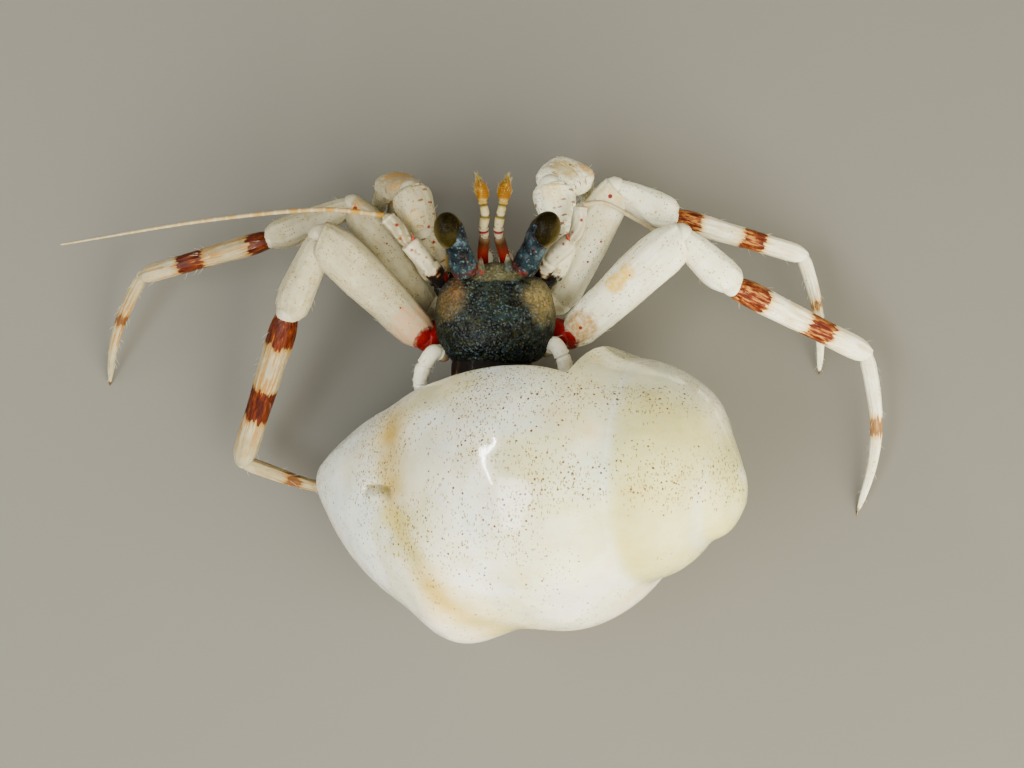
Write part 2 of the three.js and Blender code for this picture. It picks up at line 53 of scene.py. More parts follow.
MID = 0.83                      # the head's middle line, off the shell's own middle
SHIELD_FRONT = -6.0             # station of the shield's front edge
SIDES = {"left": 1, "right": -1}

shield_low, shield_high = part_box("shield")
SHIFT = np.array([
    (shield_low.x + shield_high.x) / 2 / MM - MID,
    shield_low.y / MM - SHIELD_FRONT,
    0.0,
])


# ---------- numbers ----------
def smoothstep(x, low, high):
    t = np.clip((np.asarray(x, float) - low) / (high - low), 0, 1)
    return t * t * (3 - 2 * t)


def lerp(a, b, t):
    return a + (b - a) * t


def bump_at(x, centre, reach):
    """A smooth hill of height 1 at the centre."""
    return np.exp(-(((np.asarray(x, float) - centre) / reach) ** 2))


def unit(v):
    v = np.asarray(v, float)
    return v / np.maximum(np.linalg.norm(v, axis=-1, keepdims=True), 1e-12)


def eased(table, x):
    """Monotone cubic through (place, value) pairs: no overshoot between them."""
    xs, ys = (np.array(c, float) for c in zip(*table))
    slope = np.diff(ys) / np.diff(xs)
    tangent = np.zeros(len(xs))
    tangent[0], tangent[-1] = slope[0], slope[-1]
    for k in range(1, len(xs) - 1):
        a, b = slope[k - 1], slope[k]
        tangent[k] = 0 if a * b <= 0 else 2 * a * b / (a + b)
    x = np.clip(np.asarray(x, float), xs[0], xs[-1])
    i = np.clip(np.searchsorted(xs, x, side="right") - 1, 0, len(xs) - 2)
    span = xs[i + 1] - xs[i]
    s = (x - xs[i]) / span
    s2, s3 = s * s, s * s * s
    return (ys[i] * (2 * s3 - 3 * s2 + 1) + ys[i + 1] * (3 * s2 - 2 * s3)
            + span * (tangent[i] * (s3 - 2 * s2 + s) + tangent[i + 1] * (s3 - s2)))


def direction(heading, climb, side):
    """Unit vector; the heading is measured from straight ahead towards the limb's own side."""
    h, c = math.radians(heading), math.radians(climb)
    return np.array([side * math.sin(h) * math.cos(c), -math.cos(h) * math.cos(c), math.sin(c)])


# ---------- solid noise ----------
def lattice(x, y, z, seed):
    """A fixed pseudo-random number from 0 to 1 for each corner of a whole-number grid."""
    n = (x * 374761393 + y * 668265263 + z * 1440662683 + seed * 974634777) & 0xFFFFFFFF
    n = ((n ^ (n >> 13)) * 1274126177) & 0xFFFFFFFF
    return ((n ^ (n >> 16)) & 0xFFFFFF) / 0xFFFFFF


def waves(points, size, seed=1):
    """Smooth noise from -1 to 1 whose waves are about `size` millimetres long."""
    p = np.asarray(points, float) / size
    cell = np.floor(p).astype(np.int64)
    f = p - cell
    f = f * f * (3 - 2 * f)
    total = 0
    for dx in (0, 1):
        for dy in (0, 1):
            for dz in (0, 1):
                weight = ((f[..., 0] if dx else 1 - f[..., 0]) * (f[..., 1] if dy else 1 - f[..., 1])
                          * (f[..., 2] if dz else 1 - f[..., 2]))
                corner = lattice(cell[..., 0] + dx, cell[..., 1] + dy, cell[..., 2] + dz, seed)
                total = total + weight * corner
    return 2 * total - 1


def grains(points, size, seed=1):
    """Distance to the nearest of scattered grain centres, in cells, and that grain's own number."""
    p = np.asarray(points, float) / size
    cell = np.floor(p).astype(np.int64)
    best = np.full(p.shape[:-1], 9.0)
    own = np.zeros(p.shape[:-1])
    for dx in (-1, 0, 1):
        for dy in (-1, 0, 1):
            for dz in (-1, 0, 1):
                c = [cell[..., 0] + dx, cell[..., 1] + dy, cell[..., 2] + dz]
                centre = np.stack([c[k] + lattice(*c, seed + k) for k in range(3)], -1)
                d = np.linalg.norm(p - centre, axis=-1)
                nearer = d < best
                best = np.where(nearer, d, best)
                own = np.where(nearer, lattice(*c, seed + 7), own)
    return best, own


# ---------- meshes ----------
class Sheet:
    """A grid of points, rows along and columns round, with values at each point."""

    def __init__(self, points, share=None, closed=True, **values):
        self.points = np.asarray(points, float)
        self.share = share              # place of each row along the sheet, 0 to 1
        self.closed = closed
        self.values = values

    @property
    def shape(self):
        return self.points.shape[:2]

    def fill(self, **numbers):
        """Stores the same number at every point, under each name."""
        for key, number in numbers.items():
            self.values[key] = np.full(self.shape, number)

    def normals(self):
        p = self.points
        along = np.gradient(p, axis=0)
        if self.closed:
            round_ = np.roll(p, -1, axis=1) - np.roll(p, 1, axis=1)
        else:
            round_ = np.gradient(p, axis=1)
        n = unit(np.cross(round_, along))
        middle = p.mean(axis=1, keepdims=True)
        if self.closed and np.sum(n * (p - middle)) < 0:
            n = -n
        return n

    def raise_by(self, height):
        """Moves every point out along its normal, and gives the sheet back."""
        self.points = self.points + self.normals() * np.asarray(height)[..., None]
        return self


def tinted(shape, colour, share=1.0):
    """The same colour at every point of a sheet, with its share as alpha."""
    out = np.empty((*shape, 4))
    out[..., :3] = colour
    out[..., 3] = share
    return out


def paint(tint, mask, colour, share=1.0):
    """Lays a colour over a sheet's tint where the mask is 1; alpha grows with it."""
    m = np.clip(mask, 0, 1)[..., None]
    tint[..., :3] = lerp(tint[..., :3], np.asarray(colour, float), m)
    tint[..., 3] = np.maximum(tint[..., 3], m[..., 0] * share)


def sheet_faces(rows, columns):
    """Index arrays of a sheet's quads and of the triangles of its two end fans."""
    i, j = np.meshgrid(np.arange(rows - 1), np.arange(columns), indexing="ij")
    k = (j + 1) % columns
    quads = np.stack([i * columns + j, i * columns + k, (i + 1) * columns + k, (i + 1) * columns + j], -1)
    ring = np.arange(columns)
    after = (ring + 1) % columns
    last, centre = (rows - 1) * columns, rows * columns
    near = np.stack([after, ring, np.full(columns, centre)], -1)
    far = np.stack([last + ring, last + after, np.full(columns, centre + 1)], -1)
    return quads.reshape(-1, 4), [near, far]


def with_caps(array):
    """A sheet's values as one list, with a mean value for the point in the middle of each end."""
    flat = array.reshape(-1, *array.shape[2:])
    return np.concatenate([flat, array[0].mean(axis=0)[None], array[-1].mean(axis=0)[None]])


def signed_volume(points, quads, triangles):
    corners = [quads[:, [0, 1, 2]], quads[:, [0, 2, 3]], *triangles]
    t = np.concatenate(corners)
    a, b, c = points[t[:, 0]], points[t[:, 1]], points[t[:, 2]]
    return float(np.sum(a * np.cross(b, c)))


def make_mesh(name, sheets):
    """One mesh from several closed sheets; every value becomes a point attribute."""
    all_points, corner_lists, sizes, start = [], [], [], 0
    kinds = {}
    for s in sheets:
        for key, v in s.values.items():
            kinds[key] = np.asarray(v).shape[2:] or (1,)
    stores = {key: [] for key in kinds}
    for s in sheets:
        points = with_caps(s.points)
        quads, fans = sheet_faces(*s.shape)
        if signed_volume(points - points.mean(axis=0), quads, fans) < 0:
            quads, fans = quads[:, ::-1], [f[:, ::-1] for f in fans]
        for faces in [quads, *fans]:
            corner_lists.append((faces + start).ravel())
            sizes.append(np.full(len(faces), faces.shape[1]))
        all_points.append(points)
        for key, width in kinds.items():
            if key in s.values:
                v = with_caps(np.asarray(s.values[key], float).reshape(*s.shape, *width))
            else:
                v = np.zeros((len(points), *width))
            stores[key].append(v)
        start += len(points)
    points = (np.concatenate(all_points) + SHIFT) * MM
    points[:, 2] = np.maximum(points[:, 2], 0)
    corners, sizes = np.concatenate(corner_lists), np.concatenate(sizes)
    mesh = bpy.data.meshes.new(name)
    mesh.vertices.add(len(points))
    mesh.vertices.foreach_set("co", points.ravel())
    mesh.loops.add(len(corners))
    mesh.loops.foreach_set("vertex_index", corners.astype(np.int32))
    mesh.polygons.add(len(sizes))
    mesh.polygons.foreach_set("loop_start", (np.cumsum(sizes) - sizes).astype(np.int32))
    for key, chunks in stores.items():
        write_values(mesh, key, np.concatenate(chunks))
    mesh.update(calc_edges=True)
    mesh.validate()
    mesh.shade_smooth()
    return mesh


def write_values(mesh, key, values):
    """Stores numbers, vectors or colours at the points of a mesh."""
    width = values.shape[1]
    kind, field = {1: ("FLOAT", "value"), 3: ("FLOAT_VECTOR", "vector"), 4: ("FLOAT_COLOR", "color")}[width]
    mesh.attributes.new(key, kind, "POINT").data.foreach_set(field, values.astype(np.float32).ravel())


def add_object(name, mesh, material, slot, *nodes):
    """A finished piece on the animal that stands for the CAD nodes named."""
    piece = bpy.data.objects.new(name, mesh)
    bpy.context.scene.collection.objects.link(piece)
    mesh.materials.clear()
    mesh.materials.append(material)
    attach(piece, BODY)
    if nodes:
        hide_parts(*nodes)


def add_part(name, sheets, material, slot):
    """A piece made of sheets that stands for the CAD node of the same name."""
    add_object(name, make_mesh(name, sheets), material, slot, name)


# ---------- materials ----------
class Finish:
    """A material and short ways to add nodes to it."""

    def __init__(self, name, **constants):
        self.material = bpy.data.materials.new(name)
        self.material.use_nodes = True
        self.tree = self.material.node_tree
        self.shader = self.tree.nodes["Principled BSDF"]
        for socket, value in constants.items():
            self.shader.inputs[socket.replace("_", " ")].default_value = value

    def add(self, kind, settings=None, **inputs):
        node = self.tree.nodes.new(kind)
        for key, value in (settings or {}).items():
            setattr(node, key, value)
        for key, value in inputs.items():
            self.feed(node.inputs[key.replace("_", " ")], value)
        return node

    def feed(self, socket, value):
        if isinstance(value, bpy.types.NodeSocket):
            self.tree.links.new(value, socket)
        else:
            socket.default_value = value

    def value(self, name):
        """A number stored on the mesh."""
        return self.add("ShaderNodeAttribute", {"attribute_name": name}).outputs["Fac"]

    def vector(self, name):
        """A vector stored on the mesh."""
        return self.add("ShaderNodeAttribute", {"attribute_name": name}).outputs["Vector"]

    def tint(self):
        """The tint stored on the mesh, and its share."""
        node = self.add("ShaderNodeAttribute", {"attribute_name": "tint"})
        return node.outputs["Color"], node.outputs["Alpha"]

    def place(self, scale=(1, 1, 1)):
        """Position on the mesh in millimetres, times a scale."""
        source = self.add("ShaderNodeTexCoord").outputs["Object"]
        return self.stretched(source, [s / MM for s in scale])

    def stretched(self, vector, scale):
        node = self.add("ShaderNodeMapping")
        self.feed(node.inputs["Vector"], vector)
        node.inputs["Scale"].default_value = scale
        return node.outputs["Vector"]

    def noise(self, vector, size, detail=3.0, roughness=0.55):
        """Cloudy noise, about 0 to 1, for features `size` long in the vector's units."""
        node = self.add("ShaderNodeTexNoise", Scale=1 / size, Detail=detail, Roughness=roughness)
        self.feed(node.inputs["Vector"], vector)
        return node.outputs["Fac"]

    def cells(self, vector, size):
        """Distance to the nearest cell centre in cells, and the cell's own random colour."""
        node = self.add("ShaderNodeTexVoronoi", Scale=1 / size)
        self.feed(node.inputs["Vector"], vector)
        return node.outputs["Distance"], node.outputs["Color"]

    def channel(self, colour, index):
        node = self.add("ShaderNodeSeparateColor")
        self.feed(node.inputs["Color"], colour)
        return node.outputs[index]

    def maths(self, operation, a, b, c=0.0):
        node = self.add("ShaderNodeMath", {"operation": operation})
        for socket, value in zip(node.inputs, (a, b, c)):
            self.feed(socket, value)
        return node.outputs[0]

    def plus(self, a, b):
        return self.maths("ADD", a, b)

    def minus(self, a, b):
        return self.maths("SUBTRACT", a, b)

    def times(self, a, b):
        return self.maths("MULTIPLY", a, b)

    def below(self, a, b):
        return self.maths("LESS_THAN", a, b)

    def scaled(self, value, factor, offset):
        """Value times factor, plus offset."""
        return self.maths("MULTIPLY_ADD", value, factor, offset)

    def ramp(self, value, low, high, out_low=0.0, out_high=1.0):
        """Smooth step of a value from one range to another."""
        node = self.add("ShaderNodeMapRange", {"interpolation_type": "SMOOTHSTEP"})
        for socket, number in zip(node.inputs, (value, low, high, out_low, out_high)):
            self.feed(socket, number)
        return node.outputs[0]

    def mix(self, share, a, b, way="MIX"):
        node = self.add("ShaderNodeMix", {"data_type": "RGBA", "blend_type": way})
        self.feed(node.inputs["Factor"], share)
        self.feed(node.inputs[6], (*a, 1) if isinstance(a, tuple) else a)
        self.feed(node.inputs[7], (*b, 1) if isinstance(b, tuple) else b)
        return node.outputs[2]

    def shade(self, share, colour, tone):
        """Darkens a colour by a tone."""
        return self.mix(share, colour, tone, "MULTIPLY")

    def bump(self, height, depth):
        """Relief whose full height is `depth` millimetres."""
        node = self.add("ShaderNodeBump", Strength=1.0, Distance=depth * MM, Height=height)
        return node.outputs["Normal"]

    def done(self, colour, roughness=None, normal=None):
        for socket, value in (("Base Color", colour), ("Roughness", roughness), ("Normal", normal)):
            if value is not None:
                self.feed(self.shader.inputs[socket], value)
        return self.material


def glow_through(weight, reach, tint=(1.0, 0.72, 0.5)):
    """Socket values of a surface that light soaks into, to `reach` millimetres."""
    return {"Subsurface_Weight": weight, "Subsurface_Radius": tint, "Subsurface_Scale": reach * MM}


def shell_finish():
    """Worn, milky, glossy shell: the mesh's own tints, fine clouding and many tiny borings."""
    f = Finish("worn shell", IOR=1.55, Coat_Weight=0.85, Coat_Roughness=0.06,
               **glow_through(0.12, 0.3, (1.0, 0.85, 0.7)))
    tint, _ = f.tint()
    place = f.place()
    cloud = f.noise(place, 1.6, 5)
    colour = f.shade(f.ramp(cloud, 0.35, 0.75, 0.0, 0.8), tint, (0.86, 0.88, 0.92))
    broad = f.noise(f.place((1.0, 0.8, 1.0)), 3.4, 3)
    colour = f.shade(f.ramp(broad, 0.42, 0.62, 0.0, 0.75), colour, (0.92, 0.86, 0.72))
    colour = f.shade(f.ramp(broad, 0.45, 0.3, 0.0, 0.75), colour, (0.84, 0.90, 0.96))
    faint = f.noise(f.place((0.6, 1.2, 1.2)), 0.5, 4)
    colour = f.shade(f.ramp(faint, 0.45, 0.75, 0.0, 0.7), colour, (0.92, 0.87, 0.68))
    mottle = f.noise(place, 0.16, 4, 0.7)
    colour = f.shade(f.ramp(mottle, 0.4, 0.75, 0.0, 0.5), colour, (0.86, 0.85, 0.76))
    pitted = f.value("pitted")
    dots, dot_own = boring_mask(f, place, 0.24, 0.2, pitted, 1.35)
    grains_mask, _ = boring_mask(f, f.place((1.0, 0.9, 1.0)), 0.14, 0.28, pitted, 1.0)
    dashes, _ = boring_mask(f, f.place((2.2, 0.7, 0.9)), 0.2, 0.27, pitted, 1.6)
    brown = f.mix(f.ramp(dot_own, 0.3, 0.8), (0.13, 0.022, 0.0005), (0.17, 0.09, 0.001))
    colour = f.mix(f.times(dashes, 0.8), colour, (0.26, 0.17, 0.001))
    colour = f.mix(f.times(grains_mask, 0.8), colour, (0.24, 0.10, 0.001))
    colour = f.mix(f.times(dots, 0.97), colour, brown)
    scratches = f.noise(f.place((0.25, 2.5, 2.5)), 0.7, 6, 0.7)
    relief = f.plus(f.times(scratches, 0.12), f.times(dots, -1.0))
    relief = f.plus(relief, f.times(dashes, -0.5))
    rough = f.ramp(f.noise(place, 0.9, 5), 0.3, 0.7, 0.2, 0.42)
    rough = f.plus(rough, f.times(dots, 0.4))
    return f.done(colour, rough, f.bump(relief, 0.03))


def dot_mask(f, distance, own, chance, wide, soft):
    """Dots in a share of the cells; wide is the factor and the offset of their random radius."""
    present = f.below(f.channel(own, 0), chance)
    radius = f.scaled(f.channel(own, 1), *wide)
    return f.times(present, f.ramp(f.minus(distance, radius), soft, -soft))


def boring_mask(f, vector, spacing, size, density, most):
    """Small round pits, more where the density is high, and a random shade."""
    wobble = f.noise(vector, 0.08, 2)
    distance, own = f.cells(vector, spacing)
    edge = f.scaled(wobble, 0.12, -0.06)
    pits = dot_mask(f, f.plus(distance, edge), own, f.times(density, most), (size * 0.8, size * 0.45), 0.03)
    return pits, f.channel(own, 2)


def shield_finish():
    """Granular plate: every grain has its own blue-black, teal, grey or olive."""
    f = Finish("granular shield", IOR=1.5, Specular_IOR_Level=0.1)
    tint, pale = f.tint()
    place = f.place()
    distance, own = f.cells(place, 0.12)
    fine, fine_own = f.cells(place, 0.07)
    dark = f.mix(f.ramp(f.channel(own, 0), 0.2, 0.8), (0.0006, 0.0009, 0.0003), (0.0045, 0.0065, 0.0032))
    dark = f.mix(f.ramp(f.channel(own, 1), 0.72, 0.8), dark, (0.012, 0.019, 0.017))
    dark = f.mix(f.ramp(f.channel(own, 2), 0.8, 0.9, 0.0, 0.7), dark, (0.014, 0.011, 0.003))
    dark = f.shade(f.ramp(f.noise(place, 1.3, 3), 0.38, 0.55, 0.0, 0.9), dark, (0.22, 0.24, 0.2))
    dark = f.mix(f.ramp(f.noise(place, 0.5, 4), 0.52, 0.68, 0.0, 0.6), dark, (0.020, 0.021, 0.004))
    teal = f.noise(f.place((0.8, 1.1, 1.0)), 0.9, 4)
    dark = f.mix(f.ramp(teal, 0.55, 0.72, 0.0, 0.7), dark, (0.014, 0.030, 0.028))
    grit = f.scaled(f.channel(own, 2), 0.5, f.times(f.channel(fine_own, 0), 0.35))
    share = f.ramp(f.plus(pale, f.scaled(grit, 0.5, -0.22)), 0.05, 0.95)
    shaded = f.shade(f.ramp(f.channel(own, 1), 0.1, 0.9), tint, (0.55, 0.55, 0.5))
    colour = f.mix(share, dark, shaded)
    sparse = f.ramp(f.noise(place, 0.7, 3), 0.35, 0.6, 0.25, 1.0)
    for k, low, fleck in ((0, 0.84, (0.062, 0.085, 0.078)), (1, 0.87, (0.012, 0.022, 0.055)),
                          (2, 0.88, (0.045, 0.030, 0.006))):
        bright = f.times(f.ramp(f.channel(fine_own, k), low, low + 0.1, 0.0, 0.7), sparse)
        colour = f.mix(bright, colour, fleck)
    relief = f.plus(f.times(distance, -1.0), f.times(fine, -0.35))
    rough = f.ramp(f.channel(fine_own, 2), 0.0, 1.0, 0.3, 0.55)
    return f.done(colour, rough, f.bump(relief, 0.016))


def limb_finish():
    """Pale, slightly see-through cuticle with ragged chestnut bands, stains, spots and specks; painted
    shade darkens the left limbs.
    """
    f = Finish("limb cuticle", IOR=1.5, Specular_IOR_Level=0.13, Coat_Weight=0.05, Coat_Roughness=0.2,
               **glow_through(0.1, 0.25, (1.0, 0.8, 0.6)))
    straight = f.vector("straight")
    lines = f.noise(f.stretched(straight, (0.16, 1.0, 1.0)), 0.16, 4)
    soft = f.noise(straight, 0.9, 4)
    colour = f.mix(f.ramp(soft, 0.35, 0.7), (0.74, 0.69, 0.48), (0.84, 0.83, 0.66))
    colour = f.shade(f.ramp(lines, 0.5, 0.72, 0.0, 0.6), colour, (0.82, 0.72, 0.45))
    blotch = f.noise(straight, 0.45, 5, 0.6)
    colour = f.shade(f.ramp(blotch, 0.52, 0.72, 0.0, 0.6), colour, (0.80, 0.72, 0.40))
    # Painted shade: the left limbs darker and browner, the right ones only a little.
    colour = f.shade(f.times(f.value("dull"), f.ramp(soft, 0.2, 0.7, 0.6, 1.0)), colour,
                     (0.42, 0.36, 0.25))
    lit_lines = f.times(f.value("stripes"), f.ramp(lines, 0.4, 0.6))
    colour = f.mix(lit_lines, colour, (0.60, 0.34, 0.05))
    tint, share = f.tint()
    ragged = f.scaled(f.noise(straight, 0.45, 6, 0.7), 3.4, -1.7)
    ragged = f.scaled(share, 1.5, ragged)
    patchy = f.ramp(f.noise(straight, 0.16, 4), 0.35, 0.6, 0.6, 1.0)
    stained = f.times(f.ramp(ragged, 0.0, 1.25), f.ramp(share, 0.0, 0.3))
    stained = f.times(stained, f.maths("MAXIMUM", patchy, f.ramp(share, 0.85, 0.95)))
    colour = f.mix(speck_mask(f, straight), colour, (0.26, 0.17, 0.03))
    colour = f.mix(streak_mask(f, straight), colour, (0.18, 0.055, 0.010))
    colour = f.mix(stained, colour, tint)
    colour = banded(f, straight, colour)
    # More painted shade on the left limbs, in grey.
    colour = f.shade(f.times(f.value("dull"), 0.35), colour, (0.3, 0.3, 0.3))
    reach = f.add("ShaderNodeVectorMath", {"operation": "LENGTH"})
    f.feed(reach.inputs[0], f.vector("spot"))
    spot = f.ramp(f.plus(reach.outputs["Value"], f.times(soft, 0.4)), 1.25, 0.95)
    colour = f.mix(spot, colour, (0.20, 0.018, 0.008))
    relief = f.plus(f.times(lines, 0.6), f.noise(straight, 0.12, 5, 0.65))
    relief = f.plus(relief, f.times(f.noise(straight, 0.35, 4), 0.8))
    wrinkles = f.noise(f.stretched(straight, (1.0, 0.3, 0.3)), 0.08, 3)
    relief = f.plus(relief, f.times(wrinkles, 0.5))
    rough = f.ramp(f.noise(straight, 0.5, 4), 0.3, 0.7, 0.28, 0.48)
    return f.done(colour, rough, f.bump(relief, 0.032))


def speck_mask(f, straight):
    """Small olive-brown specks where the mesh asks for them."""
    wanted = f.times(f.value("specks"), f.ramp(f.noise(straight, 1.1, 3), 0.35, 0.65, 0.1, 1.0))
    distance, own = f.cells(f.stretched(straight, (1.2, 1.5, 1.5)), 0.15)
    return f.times(dot_mask(f, distance, own, f.times(wanted, 1.1), (0.3, 0.14), 0.06), 0.85)


def streak_mask(f, straight):
    """Short crosswise streaks on the claw-bearing limbs."""
    distance, own = f.cells(f.stretched(straight, (2.4, 0.8, 0.8)), 0.4)
    edge = f.scaled(f.noise(straight, 0.07, 3), 0.3, -0.15)
    return f.times(dot_mask(f, f.plus(distance, edge), own, f.value("marks"), (0.3, 0.16), 0.05), 0.85)


def banded(f, straight, colour):
    """Chestnut bands that break up into lengthwise streaks at their edges."""
    inside = f.value("band")
    streaks = f.noise(f.stretched(straight, (0.1, 1.0, 1.0)), 0.13, 3, 0.6)
    edge = f.scaled(streaks, 3.0, -1.5)
    mask = f.times(f.ramp(f.plus(inside, edge), -0.05, 0.12), f.value("solid"))
    deep = f.noise(f.stretched(straight, (0.14, 1.0, 1.0)), 0.11, 4, 0.65)
    brown = f.mix(f.ramp(deep, 0.38, 0.6), (0.055, 0.006, 0.002), (0.17, 0.028, 0.005))
    brown = f.mix(f.ramp(deep, 0.58, 0.72, 0.0, 0.85), brown, (0.46, 0.20, 0.035))
    # Lighter streaks in the bands of the right limbs: painted light that fades under the painted shade.
    lit = f.times(f.scaled(f.value("dull"), -0.6, 0.6), f.ramp(deep, 0.48, 0.62))
    brown = f.mix(lit, brown, (0.50, 0.25, 0.05))
    # Painted shade darkens the bands of the left limbs.
    brown = f.shade(f.times(f.value("dull"), 0.6), brown, (0.5, 0.42, 0.2))
    halo = f.ramp(f.plus(inside, edge), -0.9, 0.1, 0.0, 0.75)
    colour = f.shade(halo, colour, (0.80, 0.50, 0.12))
    thin = f.noise(f.stretched(straight, (0.05, 1.0, 1.0)), 0.1, 3)
    trail = f.times(f.ramp(thin, 0.5, 0.56), f.ramp(inside, -6.0, -0.4))
    # The dark trails show more strongly under the painted shade of the left limbs.
    trail = f.times(trail, f.scaled(f.value("dull"), 0.55, 0.3))
    colour = f.mix(trail, colour, (0.36, 0.15, 0.012))
    return f.mix(mask, colour, brown)


def plain_finish(name, roughness=0.4, relief=0.02, size=0.15, glow=(0.3, 0.3), coat=0.2, gloss=0.3):
    """A finish whose colour is on the mesh, broken by fine noise: feelers, small legs, skin."""
    f = Finish(name, IOR=1.48, Specular_IOR_Level=gloss, Coat_Weight=coat, Coat_Roughness=0.15,
               **glow_through(*glow))
    tint, _ = f.tint()
    place = f.place()
    cloud = f.noise(place, size * 3, 4)
    colour = f.shade(f.ramp(cloud, 0.3, 0.75, 0.0, 0.35), tint, (0.6, 0.6, 0.62))
    fine = f.noise(place, size, 4, 0.65)
    return f.done(colour, f.ramp(cloud, 0.3, 0.7, roughness * 0.8, roughness * 1.2), f.bump(fine, relief))


def eyestalk_finish():
    """Steel-blue to black stalk with pale flecks and small rust spots."""
    f = Finish("eyestalk", IOR=1.5, Specular_IOR_Level=0.08, Coat_Weight=0.03, Coat_Roughness=0.1)
    tint, _ = f.tint()
    place = f.place()
    _, own = f.cells(place, 0.09)
    _, larger = f.cells(place, 0.22)
    colour = f.shade(f.ramp(f.channel(larger, 0), 0.3, 0.7, 0.0, 0.75), tint, (0.25, 0.3, 0.35))
    colour = f.mix(f.ramp(f.channel(own, 0), 0.88, 0.95, 0.0, 0.5), colour, (0.08, 0.12, 0.14))
    colour = f.mix(f.ramp(f.channel(own, 1), 0.9, 0.95, 0.0, 0.5), colour, (0.06, 0.02, 0.01))
    relief = f.noise(place, 0.1, 4, 0.65)
    return f.done(colour, f.ramp(relief, 0.3, 0.7, 0.2, 0.36), f.bump(relief, 0.02))


def cornea_finish():
    """Glossy olive-brown eye with very small facets."""
    f = Finish("cornea", IOR=1.5, Specular_IOR_Level=0.03, Coat_Weight=0.03, Coat_Roughness=0.2)
    tint, _ = f.tint()
    place = f.place()
    distance, own = f.cells(place, 0.05)
    cloud = f.noise(place, 0.3, 4)
    colour = f.shade(f.ramp(cloud, 0.35, 0.65, 0.0, 0.4), tint, (0.35, 0.33, 0.3))
    colour = f.mix(f.ramp(f.channel(own, 0), 0.75, 0.95, 0.0, 0.3), colour, (0.04, 0.032, 0.008))
    return f.done(colour, 0.4, f.bump(f.times(distance, -1.0), 0.006))


def bristle_finish():
    """Fine, pale, see-through hairs."""
    f = Finish("bristles", IOR=1.5, Roughness=0.45, **glow_through(0.6, 0.2))
    tint, _ = f.tint()
    shade = f.noise(f.place(), 0.4, 3)
    return f.done(f.shade(f.ramp(shade, 0.3, 0.7, 0.0, 0.4), tint, (0.7, 0.6, 0.45)))


def floor_finish():
    f = Finish("floor", Roughness=0.7)
    cloud = f.noise(f.place(), 30.0, 3)
    return f.done(f.mix(cloud, (0.105, 0.098, 0.08), (0.12, 0.112, 0.09)))


# ---------- snail shell ----------
SHELL_CENTRE = np.array([-2.0, 5.0, 7.2])
SHELL_TILT = math.radians(22)   # apex raised above the level
SHELL_APEX = -9.69              # stations along the axis, towards the canal is positive
SHELL_BASE = 12.9
SHELL_WALL = 0.75
COLUMELLA = 0.75
LAST_TURN_ANGLE = 112           # where the upper corner of the lip ends, degrees
CREASE = 0.16                   # softness of the worn seams between whorls

# Coil: age in turns back from the lip, against outer radius, station and half height.
COIL_RADIUS = [(0, 7.3), (0.5, 7.1), (1, 6.4), (1.5, 4.65), (2, 3.3), (2.5, 2.6), (3.2, 1.3)]
COIL_STATION = [(0, 0.0), (0.5, -0.4), (1, -3.5), (1.5, -4.0), (2, -6.3), (2.5, -7.4), (3.2, -8.6)]
COIL_HALF = [(0, 6.5), (0.5, 4.6), (1, 5.3), (1.5, 4.0), (2, 3.1), (2.5, 2.1), (3.2, 1.09)]
# The stained groove beside the old canal ends: angle round the axis against station.
GROOVE = [(-150, -2.0), (-110, 0.2), (-85, 1.5), (-65, 2.4), (-45, 3.7), (-28, 5.0), (-10, 6.1), (15, 6.6),
          (40, 7.2), (80, 8.2)]

MILK = (0.84, 0.84, 0.70)
BLUISH = (0.78, 0.83, 0.80)
CREAM = (0.62, 0.57, 0.17)
TAN = (0.52, 0.33, 0.03)
STRAW = (0.80, 0.61, 0.17)
BLUSH = (0.88, 0.77, 0.66)
PORCELAIN = (0.80, 0.70, 0.55)


def whorl_radius(age, h, angle):
    """Outer radius of the whorl of one age at the station h along the axis."""
    radius, station = eased(COIL_RADIUS, age), eased(COIL_STATION, age)
    x = np.abs((h - station) / eased(COIL_HALF, age))
    arch = np.where(x < 1, radius * (0.41 + 0.59 * np.sqrt(np.clip(1 - x * x, 0, 1))), 0)
    shrink = 1 - 0.4 * smoothstep(age, 0.55, 1.0) - 0.25 * smoothstep(age, 1.0, 2.0)
    y = (h - station) / ((SHELL_BASE - station) * shrink)
    rear = np.exp(-(((angle + 120) / 72) ** 2))
    share = np.clip(1 - np.clip(y, 0, 1) ** (1.68 + 2.6 * rear), 0, 1) ** 0.94
    base = COLUMELLA + (radius - COLUMELLA) * share
    return np.where((y > 0) & (y < 1), np.maximum(arch, base), arch)


def pillar_radius(h):
    y = h / SHELL_BASE
    return np.where(y >= 1, 0, COLUMELLA * np.sqrt(np.clip(1 - np.clip(y, 0, 1) ** 6, 0, 1)))


def fasciole(h, angle):
    """The swelling where the old canal ends wind round the base."""
    turn = np.radians(angle + 84)
    return 1.05 * bump_at(h, 4.5 - 0.4 * turn, 2.1) * bump_at(turn, 0, 1.07)


def lip_angle(h):
    """Angle at which the lip ends, from straight above towards the animal."""
    return lerp(LAST_TURN_ANGLE, 57 + 0.9 * h, smoothstep(h, -3.2, -2.2))


def stacked_whorls(angle, h):
    """Radius of the whole coil, the age of the whorl that shows, and how near a seam it is."""
    turns = (LAST_TURN_ANGLE - angle) / 360
    layers = np.stack([whorl_radius(turns + n, h, angle) for n in range(4)])
    top = layers.max(axis=0)
    weights = np.exp((layers - top) / (CREASE / 2))
    total = weights.sum(axis=0)
    age = (weights * (turns + np.arange(4).reshape(4, *[1] * turns.ndim))).sum(axis=0) / total
    second = np.sort(layers, axis=0)[-2]
    radius = top + CREASE / 2 * np.log(total) * np.exp(-(top - second) / CREASE)
    return np.maximum(radius, pillar_radius(h)), age, top - second


